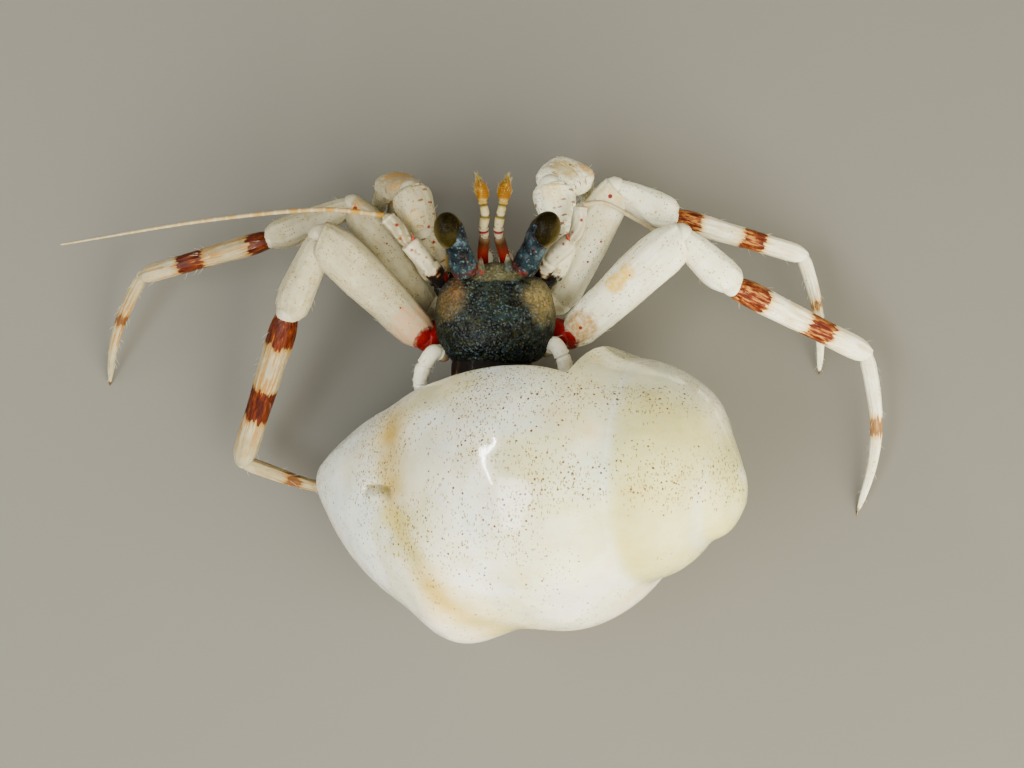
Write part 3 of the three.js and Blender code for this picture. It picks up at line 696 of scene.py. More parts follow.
def on_shell(angle, h, radius):
    """Points from the shell's own cylinder coordinates."""
    front = np.array([math.cos(SHELL_TILT), 0, -math.sin(SHELL_TILT)])
    up = np.array([math.sin(SHELL_TILT), 0, math.cos(SHELL_TILT)])
    a = np.radians(angle)
    h, radius = np.asarray(h, float), np.asarray(radius, float)
    return (SHELL_CENTRE + h[..., None] * front + (radius * np.cos(a))[..., None] * up
            + (radius * np.sin(a))[..., None] * np.array([0, -1.0, 0]))


def softened(values, rows):
    """Values of a grid blurred along its columns, over about so many rows."""
    reach = int(3 * rows)
    weights = np.exp(-0.5 * (np.arange(-reach, reach + 1) / rows) ** 2)
    padded = np.pad(values, ((reach, reach), (0, 0)), mode="edge")
    total = sum(w * padded[k:k + len(values)] for k, w in enumerate(weights))
    return total / weights.sum()


def shell_wear(points, angle, h):
    """Shallow dents, growth lines and faint spiral threads of a worn shell."""
    dents = 0.07 * waves(points, 3.2, 3) + 0.03 * waves(points, 1.3, 4)
    growth = 0.012 * waves(np.stack([angle / 9, h / 6, h * 0], -1), 1.0, 5) * smoothstep(h, -3.4, -2.6)
    threads = 0.003 * np.sin(h * 7.5 + 1.5 * waves(points, 2.5, 6))
    return dents + growth + threads * smoothstep(h, 1.0, 6.0)


def shell_tint(points, angle, h, age, seam):
    """Milky white, warmer on the older whorls, blue-white in the seams, tan in the groove."""
    cloud = waves(points, 2.6, 8)
    streaky = waves(points * (0.4, 1, 1), 0.8, 14)
    newest = age < 1
    tint = tinted(h.shape, MILK)
    paint(tint, smoothstep(age + 0.03 * cloud, 1.02, 1.2) * (0.85 + 0.15 * cloud), CREAM)
    paint(tint, 0.95 * np.exp(-((seam / 0.3) ** 2)) * (age < 2.9) * (h < 3), BLUISH)
    for k in range(3):
        tint[..., k] = softened(tint[..., k], 3)
    paint(tint, 0.42 * smoothstep(h, 1.5, -3.0) * (age < 1.03), CREAM)
    paint(tint, 0.55 * bump_at(angle, 52, 30) * smoothstep(h, 6.5, 1.0) * smoothstep(h, -2.0, 0.5), BLUISH)
    paint(tint, 0.35 * smoothstep(h, 5.2, 9.0) * newest, BLUISH)
    paint(tint, 0.75 * smoothstep(angle, -20, -60) * smoothstep(cloud, -0.8, 0.3) * newest, BLUSH)
    along_groove = smoothstep(angle, -150, -110) * smoothstep(angle, 75, 30) * newest
    middle = eased(GROOVE, angle) + 0.3 * cloud - 0.2
    paint(tint, bump_at(h, middle, 1.5) * along_groove * (0.7 + 0.2 * streaky), STRAW)
    paint(tint, bump_at(h, middle, 0.85) * along_groove * (0.55 + 0.3 * cloud + 0.25 * streaky), TAN)
    paint(tint, 0.5 * smoothstep(waves(points, 3.4, 15) + 0.5 * streaky, 0.0, 0.9), CREAM)
    for stain_angle, stain_h, reach in ((33, -2.4, 0.6), (28, -3.9, 0.5)):
        far = np.hypot((angle - stain_angle) / 9, h - stain_h)
        paint(tint, 0.5 * bump_at(far, 0, reach) * (0.75 + 0.4 * waves(points, 0.5, 9)), (0.70, 0.44, 0.14))
    # Dark olive where the scar dents the shell: painted shade in the dent.
    paint(tint, 0.9 * scar_mask(angle, h) * (0.85 + 0.3 * waves(points, 0.3, 16)), (0.20, 0.15, 0.012))
    return tint


def scar_mask(angle, h):
    """A short scar in the groove, along the shell."""
    arch = angle - 1.5 + 1.6 * ((h - 7.2) / 0.8) ** 2
    within = smoothstep(np.abs(h - 7.2), 1.15, 0.7)
    return smoothstep(arch, 2.0, -0.5) * smoothstep(arch, -7.0, -1.0) * within


def shell_outside():
    """The coil's whole outer surface; each row starts at the lip and runs back one full turn."""
    rows, columns = 300, 460
    s = np.linspace(0, 1, rows)
    eased_s = s - 0.05 * np.sin(2 * np.pi * s)
    h = lerp(SHELL_APEX, SHELL_BASE - 0.02, eased_s)[:, None] * np.ones(columns)
    turn = np.linspace(0, 1, columns)[None, :] * np.ones((rows, 1))
    turn = turn - 0.012 * np.sin(2 * np.pi * turn)
    follow = np.cos(np.pi * np.clip(np.minimum(turn, 1 - turn) / 0.3, 0, 1)) * 0.5 + 0.5
    angle = 60 - 360 * turn + (lip_angle(h) - 60) * follow
    radius, age, seam = stacked_whorls(angle, h)
    radius = lerp(softened(radius, 5), radius, smoothstep(h, 0.0, 2.0))
    radius = radius + fasciole(h, angle) * (angle > -248)
    radius = np.maximum(radius, 0.35)
    ends = np.sqrt(np.clip(1 - (np.abs(2 * s - 1)) ** 40, 0, 1))[:, None]
    radius = radius * lerp(0.55, 1.0, ends)
    radius -= 0.13 * bump_at(h, eased(GROOVE, angle), 1.1) * smoothstep(angle, -150, -110) * (angle > -150)
    radius -= 0.22 * scar_mask(angle, h)
    from_lip = np.radians(turn * 360) * radius
    edge = 0.34
    rounding = 1 - np.sqrt(np.clip(1 - np.clip(1 - from_lip / edge, 0, 1) ** 2, 0, 1))
    radius -= edge * rounding * smoothstep(h, -3.6, -3.1)
    points = on_shell(angle, h, radius)
    radius = radius + shell_wear(points, angle, h) * smoothstep(radius, 0.4, 2.0)
    points = on_shell(angle, h, radius)
    around = (angle + 180) % 360 - 180
    top = smoothstep(around, -50, -5) * smoothstep(around, 112, 88)
    pitted = (0.12 + 0.88 * top) * (0.5 + 0.8 * waves(points, 2.2, 12))
    return Sheet(points, tint=shell_tint(points, angle, h, age, seam), pitted=np.clip(pitted, 0, 1))


def shell_hollow():
    """The space the animal lives in, from outside the lip back round the coil."""
    rows, across = 90, 44
    angles = np.linspace(LAST_TURN_ANGLE + 8, -118, rows)
    deep = np.linspace(0, 1, rows)
    search = np.arange(-8, SHELL_BASE, 0.02)
    rings = []
    for angle, share in zip(angles, deep):
        turns = (LAST_TURN_ANGLE - angle) / 360
        outer = whorl_radius(max(turns, 0), search, angle) - SHELL_WALL
        older = [whorl_radius(turns + n, search, angle) + 0.15 for n in (1, 2, 3)]
        inner = np.maximum.reduce([*older, np.full_like(search, COLUMELLA + 0.25)])
        clear = search[outer - inner > 0.5]
        close = 1 - 0.75 * smoothstep(share, 0.7, 1.0)
        place = np.linspace(-0.5, 0.5, across) * close + 0.5
        h = lerp(clear[0], clear[-1], place)
        outer, inner = np.interp(h, search, outer), np.interp(h, search, inner)
        middle = (outer + inner) / 2
        rounded = np.sqrt(np.clip(1 - np.abs(2 * place - 1) ** 8, 0.02, 1))
        flare = 0.38 * smoothstep((lip_angle(h) - angle) * np.pi / 180 * outer, 1.3, -0.2)
        outside = lerp(middle, outer, close * rounded) + flare
        inside = lerp(middle, inner, close * rounded)
        ring_h = np.concatenate([h, h[::-1]])
        rings.append(on_shell(angle, ring_h, np.concatenate([outside, inside[::-1]])))
    hollow = Sheet(rings, tint=tinted((rows, 2 * across), PORCELAIN), pitted=np.zeros((rows, 2 * across)))
    # Darker deeper inside the opening: painted shade.
    paint(hollow.values["tint"], smoothstep(deep, 0.1, 0.9)[:, None], (0.5, 0.36, 0.27))
    return hollow


def cut_away(mesh, cutter_mesh):
    """Mesh with the cutter's space taken out."""
    body = bpy.data.objects.new("body", mesh)
    cutter = bpy.data.objects.new("cutter", cutter_mesh)
    for o in (body, cutter):
        bpy.context.scene.collection.objects.link(o)
    cut = body.modifiers.new("cut", "BOOLEAN")
    cut.operation, cut.object, cut.solver = "DIFFERENCE", cutter, "MANIFOLD"
    result = evaluated(body)
    for o in (body, cutter):
        bpy.data.objects.remove(o)
    return result


def evaluated(o):
    """The object's mesh with its modifiers applied."""
    bpy.context.view_layer.update()
    graph = bpy.context.evaluated_depsgraph_get()
    mesh = bpy.data.meshes.new_from_object(o.evaluated_get(graph), preserve_all_data_layers=True,
                                           depsgraph=graph)
    mesh.shade_smooth()
    return mesh


def build_shell():
    mesh = cut_away(make_mesh("coil", [shell_outside()]), make_mesh("hollow", [shell_hollow()]))
    add_object("snail_shell", mesh, shell_finish(), "shell", "shell")


# ---------- lofts ----------
def catmull(points, count):
    """Evenly spaced places on a smooth curve through the points, and how far along it each is."""
    p = np.array(points, float)
    p = np.vstack([2 * p[0] - p[1], p, 2 * p[-1] - p[-2]])
    knots = np.concatenate([[0], np.cumsum(np.sqrt(np.linalg.norm(np.diff(p, axis=0), axis=1)))])
    fine = []
    for k in range(1, len(p) - 2):
        t0, t1, t2, t3 = knots[k - 1:k + 3]
        t = np.linspace(t1, t2, 60, endpoint=False)[:, None]
        a1 = (t1 - t) / (t1 - t0) * p[k - 1] + (t - t0) / (t1 - t0) * p[k]
        a2 = (t2 - t) / (t2 - t1) * p[k] + (t - t1) / (t2 - t1) * p[k + 1]
        a3 = (t3 - t) / (t3 - t2) * p[k + 1] + (t - t2) / (t3 - t2) * p[k + 2]
        b1 = (t2 - t) / (t2 - t0) * a1 + (t - t0) / (t2 - t0) * a2
        b2 = (t3 - t) / (t3 - t1) * a2 + (t - t1) / (t3 - t1) * a3
        fine.append((t2 - t) / (t2 - t1) * b1 + (t - t1) / (t2 - t1) * b2)
    fine = np.vstack([*fine, p[-2][None]])
    run = np.concatenate([[0], np.cumsum(np.linalg.norm(np.diff(fine, axis=0), axis=1))])
    want = np.linspace(0, run[-1], count)
    return np.stack([np.interp(want, run, fine[:, k]) for k in range(3)], -1), want


def loft(centres, wide, deep, across, columns=48, power=2.0):
    """Points of elliptical (power 2) or squarer rings; wide and deep are half sizes."""
    along = unit(np.gradient(centres, axis=0))
    over = unit(np.cross(np.asarray(across, float), along))
    level = np.cross(along, over)
    phi = np.linspace(0, 2 * np.pi, columns, endpoint=False)
    c, s = np.cos(phi), np.sin(phi)
    c, s = np.sign(c) * np.abs(c) ** (2 / power), np.sign(s) * np.abs(s) ** (2 / power)
    wide = np.broadcast_to(wide, len(centres))[:, None] * c
    deep = np.broadcast_to(deep, len(centres))[:, None] * s
    return centres[:, None] + level[:, None] * wide[..., None] + over[:, None] * deep[..., None]


def round_ends(s, start=0.06, end=0.06):
    """Share of the full size that closes both ends of a loft in quarter circles."""
    a = np.sqrt(np.clip(1 - np.clip(1 - s / start, 0, 1) ** 2, 0, 1))
    b = np.sqrt(np.clip(1 - np.clip(1 - (1 - s) / end, 0, 1) ** 2, 0, 1))
    return np.maximum(a * b, 0.02)


# ---------- shield and soft body ----------
TEAL = (0.014, 0.028, 0.026)
SAND = (0.10, 0.065, 0.022)
PALE_OLIVE = (0.12, 0.105, 0.05)
MOSS = (0.035, 0.05, 0.02)
BLACK = (0.006, 0.004, 0.003)
RED = (0.22, 0.004, 0.003)
CHITIN = (0.80, 0.77, 0.58)

# Front to back: station against half width, middle height and half height.
BACK_HALF = [(-6.0, 0.62), (-5.75, 1.1), (-5.4, 1.75), (-5.05, 2.42), (-4.4, 2.82), (-3.4, 3.0),
             (-2.4, 2.9), (-1.7, 2.6), (-1.15, 2.1), (-0.9, 1.7)]
BACK_MIDDLE = [(-6.0, 7.1), (-5.4, 6.95), (-4.4, 6.6), (-3.4, 6.5), (-2.4, 6.4), (-1.7, 6.3), (-0.9, 6.1)]
BACK_RISE = [(-6.0, 0.42), (-5.75, 0.75), (-5.4, 1.05), (-5.05, 1.3), (-4.4, 1.65), (-3.4, 1.95),
             (-2.4, 2.0), (-1.7, 1.9), (-1.15, 1.7), (-0.9, 1.45)]


def shield_sheet():
    """Granular plate over the front of the back, with its lobes and its small beak."""
    rows, columns = 230, 300
    t = np.linspace(0, 1, rows)
    y = SHIELD_FRONT + 5.1 * (t - 0.03 * np.sin(2 * np.pi * t))
    ends = round_ends(t, 0.05, 0.07)
    half = eased(BACK_HALF, y) * ends
    rise = eased(BACK_RISE, y)
    middle = eased(BACK_MIDDLE, y)
    lean = np.linspace(-0.53, 0.53, columns) * np.pi
    over = np.cos(lean)[None, :]
    x = MID + half[:, None] * np.sin(lean)[None, :]
    z = middle[:, None] + rise[:, None] * over * ends[:, None] ** 0.5
    across = (x - MID) / np.maximum(half[:, None], 0.1)
    yy = y[:, None] + 0 * x
    lobes = bump_at(np.abs(across), 0.62, 0.24) * bump_at(yy, -4.65, 0.5)
    groove = bump_at(np.abs(across), 0.36 + 0.1 * (yy + 4.6), 0.09) * bump_at(yy, -4.6, 0.9)
    neck = bump_at(yy, -5.32, 0.16) * smoothstep(np.abs(across), 0.25, 0.6)
    collar = bump_at(yy, -1.35, 0.12)
    points = np.stack([x, yy, z], -1)
    points[..., 2] += (0.16 * lobes - 0.10 * groove - 0.12 * neck - 0.06 * collar) * over
    top = Sheet(points, closed=False)
    distance, own = grains(points, 0.17, 21)
    knobs = np.clip(1 - (distance / 0.62) ** 2, 0, 1) * (0.012 + 0.035 * own ** 2)
    fine, _ = grains(points, 0.09, 22)
    knobs += 0.016 * np.clip(1 - (fine / 0.7) ** 2, 0, 1)
    top.raise_by((knobs + 0.03 * waves(points, 0.6, 23)) * smoothstep(over, -0.05, 0.15))
    under = np.linspace(0.86, 0.0, 14)[:, None, None]
    floor_line = (points[:, [0]] + points[:, [-1]]) / 2 - np.array([0, 0, 0.12])
    left = lerp(floor_line, top.points[:, [0]], under.reshape(1, 14, 1)[:, ::-1])
    right = lerp(floor_line, top.points[:, [-1]], under.reshape(1, 14, 1))
    whole = np.concatenate([left, top.points, right], axis=1)
    return Sheet(whole, tint=shield_tint(whole))


def shield_tint(points):
    """Tan lobes at the front corners, an olive-beige beak, mossy flanks, blue-black behind."""
    x, y = points[..., 0] - MID, points[..., 1]
    cloud = waves(points, 0.7, 24)
    tint = tinted(x.shape, TEAL, 0.0)
    flank = smoothstep(np.abs(x), 1.9, 2.9)
    paint(tint, flank * (0.5 + 0.4 * cloud), MOSS, 0.75)
    middle = bump_at(np.hypot(x - 0.1, (y + 4.2) * 0.65) + 0.25 * cloud, 0.0, 0.6)
    paint(tint, 0.9 * middle, (0.009, 0.009, 0.0015))
    edge = 0.3 * cloud + 0.12 * waves(points, 0.25, 25)
    left = smoothstep(np.hypot((x - 2.15 - 0.25 * (y + 4)) / 0.85, (y + 4.1) / 1.35) + edge, 1.5, 0.2)
    right = smoothstep(np.hypot((x + 2.25 + 0.3 * (y + 4)) / 0.95, (y + 4.1) / 1.3) + edge, 1.5, 0.2)
    paint(tint, left, SAND, 0.85)
    rusty = bump_at(np.hypot(x - 1.9, (y + 4.75) * 0.9) + 0.2 * cloud, 0.0, 0.55)
    paint(tint, 0.7 * rusty, (0.17, 0.07, 0.012))
    paint(tint, right, (0.17, 0.125, 0.045), 0.9)
    beak = smoothstep(y + 0.16 * cloud, -4.85, -5.2) * smoothstep(np.abs(x) + 0.2 * cloud, 1.8, 1.2)
    paint(tint, beak, PALE_OLIVE, 0.85)
    return tint


def trunk_sheets():
    """Thorax below the plate, the soft body that runs into the shell and the plate of the chest."""
    y = np.linspace(-5.75, -0.95, 60)
    t = np.linspace(0, 1, 60)
    centres = np.stack([0 * y + MID, y, eased(BACK_MIDDLE, y) - 0.35], -1)
    half = 0.93 * eased(BACK_HALF, y) * round_ends(t, 0.1, 0.1)
    thorax = loft(centres, half, 0.86 * eased(BACK_RISE, y) * round_ends(t, 0.1, 0.1), (1, 0, 0), 72)
    centres, _ = catmull([[MID, -3.6, 4.9], [MID + 0.15, -1.2, 5.7], [1.6, 0.6, 6.6], [2.3, 2.0, 7.6]], 50)
    radius = eased([(0, 1.5), (0.25, 2.0), (0.5, 1.95), (0.75, 1.4), (1, 0.5)], np.linspace(0, 1, 50))
    soft = loft(centres, radius, radius, (1, 0, 0), 60)
    sternum, _ = catmull([[MID, -5.3, 4.3], [MID, -4.2, 4.0], [MID, -2.6, 4.0], [MID, -1.4, 4.6]], 30)
    half = eased([(0, 0.9), (0.4, 1.9), (1, 1.2)], np.linspace(0, 1, 30))
    plate = loft(sternum, half, 0.65, (1, 0, 0), 40)
    return [Sheet(thorax), Sheet(soft), Sheet(plate)]


def one_skin(name, sheets, voxel):
    """Melts several closed sheets into one smooth skin."""
    mesh = make_mesh(name, sheets)
    o = bpy.data.objects.new(name, mesh)
    bpy.context.scene.collection.objects.link(o)
    melt = o.modifiers.new("melt", "REMESH")
    melt.mode, melt.voxel_size = "VOXEL", voxel * MM
    soften = o.modifiers.new("soften", "SMOOTH")
    soften.factor, soften.iterations = 0.5, 6
    skin = evaluated(o)
    bpy.data.objects.remove(o)
    return skin


def skin_points(mesh):
    """Points of a mesh in the animal's frame, in millimetres."""
    co = np.empty(len(mesh.vertices) * 3, np.float32)
    mesh.vertices.foreach_get("co", co)
    return co.reshape(-1, 3).astype(float) / MM - SHIFT


# Red and black patches of bare skin: centre, reach in millimetres, colour.
SKIN_PATCHES = [
    ((4.4, -2.35, 6.3), 1.0, RED), ((-2.9, -2.4, 6.3), 1.0, RED), ((3.85, -4.0, 6.6), 0.5, RED),
    ((3.3, -5.0, 6.4), 0.85, BLACK), ((-1.65, -5.3, 6.4), 0.8, BLACK),
    ((3.3, -0.9, 6.8), 0.75, BLACK), ((-1.9, -1.2, 6.8), 0.7, BLACK),
]


def build_body_skin():
    """The trunk as one skin: dark above, pale below, red and black at the limbs' roots."""
    mesh = one_skin("body_skin", trunk_sheets(), 0.07)
    p = skin_points(mesh)
    cloud = waves(p, 0.8, 31)
    tint = tinted(p.shape[:1], (0.50, 0.36, 0.20))
    paint(tint, smoothstep(p[:, 2] + 0.25 * cloud, 5.2, 6.3), (0.07, 0.035, 0.015))
    paint(tint, smoothstep(p[:, 2] + 0.2 * cloud, 6.6, 7.3) * smoothstep(p[:, 1], -2.4, -1.4), BLACK)
    lines = bump_at(np.abs(p[:, 0] - MID) + 0.12 * (p[:, 1] + 1.0) + 0.08 * cloud, 1.95, 0.035)
    paint(tint, lines * smoothstep(p[:, 1], -1.6, -1.1) * smoothstep(p[:, 2], 5.8, 6.3), (0.2, 0.06, 0.015))
    for centre, reach, colour in SKIN_PATCHES:
        far = np.linalg.norm(p - np.array(centre), axis=1) + 0.12 * cloud
        paint(tint, smoothstep(far, reach, reach * 0.7), colour)
    write_values(mesh, "tint", tint)
    finish = plain_finish("bare skin", 0.6, 0.04, 0.12, (0.05, 0.2), 0.02, 0.08)
    add_object("body_skin", mesh, finish, "soft_body", "trunk")


def build_shield():
    plate = make_mesh("shield_plate", [shield_sheet()])
    add_object("shield_plate", plate, shield_finish(), "shield", "shield")


# ---------- limbs ----------
# Each part runs `length` from the joint before it; heading and climb in degrees; wide and deep
# are the full sizes at its near and far ends; facing is the heading of its own upper side, where
# that isn't its heading; a bow bends it sideways in the middle. Bands are the shares of its
# length between which it is chestnut.
Part = namedtuple("Part", "name length heading climb wide deep facing bow bands", defaults=(None, 0, ()))
LIMBS = {
    "cheliped_left": ("left", (3.05, -4.55, 5.0), [
        Part("coxa", 0.9, 35, 21, (1.5, 1.5), (1.5, 1.5)),
        Part("merus", 2.8, 21, 32, (1.7, 2.1), (1.7, 2.0)),
        Part("carpus", 2.2, 17, 5, (1.7, 1.9), (1.6, 1.8)),
        Part("palm", 3.3, 62, -66, (2.0, 1.9), (1.3, 1.3), facing=8),
        Part("finger", 3.2, 162, -44, (0.85, 0.4), (0.9, 0.4), facing=8),
    ]),
    "cheliped_right": ("right", (-1.25, -4.9, 5.0), [
        Part("coxa", 0.8, 43, 22, (1.5, 1.5), (1.5, 1.5)),
        Part("merus", 2.7, 19, 29, (1.8, 2.2), (1.8, 2.1)),
        Part("carpus", 2.2, -17, 11, (1.8, 2.0), (1.7, 1.9)),
        Part("palm", 2.9, 50, -55, (2.5, 2.5), (1.5, 1.5), facing=20),
        Part("finger", 3.1, 168, -67, (1.1, 0.45), (1.0, 0.45), facing=20),
    ]),
    "leg2_left": ("left", (3.05, -3.9, 4.2), [
        Part("coxa", 1.1, 90, -5, (1.4, 1.6), (1.4, 1.5)),
        Part("merus", 6.5, 37, 11, (1.7, 1.8), (1.8, 1.9)),
        Part("carpus", 4.6, 111, -9, (1.4, 1.5), (1.4, 1.5)),
        Part("propodus", 7.5, 104, -16, (1.15, 0.85), (1.3, 0.9), bands=((0.0, 0.16), (0.50, 0.70))),
        Part("dactylus", 6.7, 158, -23, (0.75, 0.34), (0.8, 0.34), bow=0.3, bands=((0.34, 0.42),)),
    ]),
    "leg2_right": ("right", (-1.35, -4.1, 3.9), [
        Part("coxa", 1.1, 88, 0, (1.4, 1.6), (1.4, 1.5)),
        Part("merus", 6.5, 25, 15, (1.85, 2.1), (1.8, 1.95)),
        Part("carpus", 3.3, 115, -7, (1.5, 1.7), (1.5, 1.6)),
        Part("propodus", 7.6, 104, -18, (1.2, 0.9), (1.3, 0.9), bands=((0.0, 0.19), (0.51, 0.68))),
        Part("dactylus", 6.9, 168, -23, (0.75, 0.34), (0.8, 0.34), bow=0.3, bands=((0.36, 0.42),)),
    ]),
    "leg3_left": ("left", (3.15, -2.75, 5.0), [
        Part("coxa", 1.4, 115, 26, (1.5, 1.6), (1.4, 1.5)),
        Part("merus", 7.4, 45, 13, (2.0, 2.4), (1.9, 2.3)),
        Part("carpus", 4.3, 155, -13, (1.6, 1.7), (1.6, 1.7)),
        Part("propodus", 9.0, 159, -26, (1.5, 1.1), (1.6, 1.1), bands=((0.01, 0.19), (0.49, 0.69))),
        Part("dactylus", 8.2, -105, -17, (0.85, 0.34), (0.9, 0.34), bow=0.3, bands=((0.29, 0.38),)),
    ]),
    "leg3_right": ("right", (-1.6, -2.75, 5.0), [
        Part("coxa", 1.5, 108, 24, (1.5, 1.6), (1.4, 1.5)),
        Part("merus", 7.5, 47, 13, (2.0, 2.4), (1.9, 2.3)),
        Part("carpus", 3.8, 131, -17, (1.6, 1.7), (1.6, 1.7)),
        Part("propodus", 8.9, 114, -24, (1.4, 1.1), (1.5, 1.1), bands=((0.0, 0.22), (0.53, 0.71))),
        Part("dactylus", 9.1, 180, -17, (0.85, 0.34), (0.9, 0.34), bow=0.7, bands=((0.37, 0.47),)),
    ]),
}

# Outline of a part: place along it against share of its full size.
OUTLINES = {
    "coxa": [(-0.1, 0.4), (0.05, 0.85), (0.4, 1.0), (0.8, 1.02), (1.0, 0.96)],
    "merus": [(-0.03, 0.42), (0.02, 0.68), (0.1, 0.9), (0.3, 1.0), (0.6, 1.04), (0.86, 1.04),
              (0.95, 0.97), (1.0, 0.84)],
    "carpus": [(-0.05, 0.45), (0.03, 0.64), (0.14, 0.82), (0.4, 0.98), (0.78, 1.1), (0.92, 1.04),
               (1.0, 0.84)],
    "propodus": [(-0.03, 0.45), (0.01, 0.62), (0.06, 0.84), (0.14, 0.96), (0.3, 1.0), (0.6, 0.99),
                 (0.9, 1.04), (0.97, 0.98), (1.0, 0.86)],
    "dactylus": [(-0.02, 0.45), (0.015, 0.7), (0.07, 0.92), (0.3, 1.0), (0.6, 0.92), (0.85, 0.7),
                 (0.97, 0.36), (1.0, 0.06)],
}
RIM = 0.085                     # half thickness of the cuticle at a part's far opening
SOCKET = 0.3                    # depth of that opening


def joint_places(limb):
    """The limb's joints, from its root outwards."""
    side, root, parts = LIMBS[limb]
    places = [np.array(root)]
    for part in parts:
        places.append(places[-1] + part.length * direction(part.heading, part.climb, SIDES[side]))
    return places


def upright(across, along):
    """The across direction, turned so that the ring of a loft counts up through its top."""
    return across if np.cross(across, along)[2] > 0 else -across


def part_axes(part, side):
    """Directions along, across and over a limb part."""
    along = direction(part.heading, part.climb, SIDES[side])
    facing = part.heading if part.facing is None else part.facing
    across = direction(facing + 90, 0, SIDES[side])
    over = unit(np.cross(across, along))
    return along, across, over if over[2] >= 0 else -over


def part_rows(part):
    """Places along a part and the share of its size there, with a rim and a socket at its end."""
    outline = OUTLINES[part.name]
    if part.name == "dactylus":
        s = 1 - (1 - np.linspace(0, 1, 150)) ** 1.15
        s = outline[0][0] + s * (1 - outline[0][0])
        return s, eased(outline, s)
    length = part.length
    s = np.linspace(outline[0][0], 1, int(40 + 12 * length))
    share = eased(outline, s)
    share[:3] *= (0.35, 0.75, 0.93)
    half = min(part.wide[1], part.deep[1]) / 2
    turn = np.linspace(0, np.pi, 9)[1:]
    rim_s = 1 + RIM * np.sin(turn) / length
    rim_share = share[-1] - RIM * (1 - np.cos(turn)) / half
    down_s = np.linspace(1, 1 - SOCKET / length, 5)[1:]
    down_share = np.linspace(rim_share[-1], rim_share[-1] * 0.75, 5)[1:]
    return np.concatenate([s, rim_s, down_s]), np.concatenate([share, rim_share, down_share])


def limb_part(part, start, side, bend=None):
    """A limb part as a sheet; its far opening faces the way that the limb bends."""
    columns = 72
    along, across, over = part_axes(part, side)
    s, share = part_rows(part)
    length = part.length
    hill = np.sin(np.pi * np.clip(s, 0, 1))
    centres = start + (s * length)[:, None] * along - (part.bow * hill)[:, None] * across
    if part.name == "dactylus":
        centres = centres + (0.5 * hill)[:, None] * over
    at = np.clip(s, 0, 1)
    wide = lerp(*part.wide, at) * share / 2
    deep = lerp(*part.deep, at) * share / 2
    points = loft(centres, wide, deep, upright(across, along), columns, 2.25)
    radial = points - centres[:, None]
    if bend is not None:
        toward = bend - np.dot(bend, along) * along
        ramp = smoothstep(s * length, length - 1.25 * part.wide[1], length)[:, None]
        lean = (radial @ unit(toward)) / np.maximum(np.linalg.norm(radial, axis=-1), 1e-6)
        radial = radial * (1 - 0.36 * np.clip(-lean, 0, 1) * ramp ** 3)[..., None]
        slant = 0.42 * (radial @ toward) * ramp
        points = centres[:, None] + radial - slant[..., None] * along
    phi = np.linspace(0, 2 * np.pi, columns, endpoint=False)
    straight = np.stack([(s * length)[:, None] + 0 * phi, wide[:, None] * np.cos(phi),
                         deep[:, None] * np.sin(phi)], -1)
    sheet = Sheet(points, s, straight=straight)
    outside = smoothstep(share, 0.4, 0.7) * (s <= 1)
    lumps = 0.045 * waves(straight * (0.6, 1, 1), 0.9, 41) + 0.012 * waves(straight, 0.25, 42)
    ridges = 0.02 * np.cos(3 * phi)[None, :] + 0.010 * np.cos(11 * phi + 2)[None, :]
    return sheet.raise_by((lumps * part.wide[0] / 1.6 + ridges) * outside[:, None])


def band_depth(part, sheet):
    """Depth inside the nearest chestnut band, in ragged widths; negative outside."""
    s = sheet.share
    depth = np.full(sheet.shape, -7.0)
    for low, high in part.bands:
        inside = np.minimum(s - low if low > 0 else s + 0.3, high - s) * part.length / 0.45
        depth = np.maximum(depth, inside[:, None])
    return depth


# Dark red spots: limb part, place along, angle round (90 is above), radius in millimetres.
SPOTS = {
    "cheliped_left_carpus": [(0.1, 60, 0.09), (0.55, 20, 0.06)],
    "cheliped_left_merus": [(0.85, 70, 0.10), (0.9, 30, 0.07)],
    "cheliped_right_merus": [(0.5, 100, 0.06), (0.42, 130, 0.07)],
    "cheliped_right_palm": [(0.3, 90, 0.08), (0.7, 130, 0.07)],
    "leg2_left_merus": [(0.62, 80, 0.06), (0.97, 90, 0.12)],
    "leg3_left_merus": [(0.98, 100, 0.13), (0.3, 80, 0.06)],
    "leg3_right_merus": [(0.12, 90, 0.1), (0.6, 100, 0.05)],
    "leg2_right_merus": [(0.95, 90, 0.13), (0.6, 60, 0.07), (0.5, 75, 0.06), (0.42, 70, 0.07)],
}


def from_place(sheet, place, angle):
    """Vectors to a sheet's points from one of them: its place along and its angle round, in degrees."""
    row = int(np.argmin(np.abs(sheet.share - place)))
    column = int(round(angle / 360 * sheet.shape[1])) % sheet.shape[1]
    return sheet.points - sheet.points[row, column]


def spot_offsets(name, sheet):
    """Vector from the nearest named spot, in spot radii."""
    best = np.full(sheet.points.shape, 9.0)
    for place, angle, radius in SPOTS.get(name, ()):
        offset = from_place(sheet, place, angle) / radius
        nearer = np.linalg.norm(offset, axis=-1) < np.linalg.norm(best, axis=-1)
        best = np.where(nearer[..., None], offset, best)
    return best


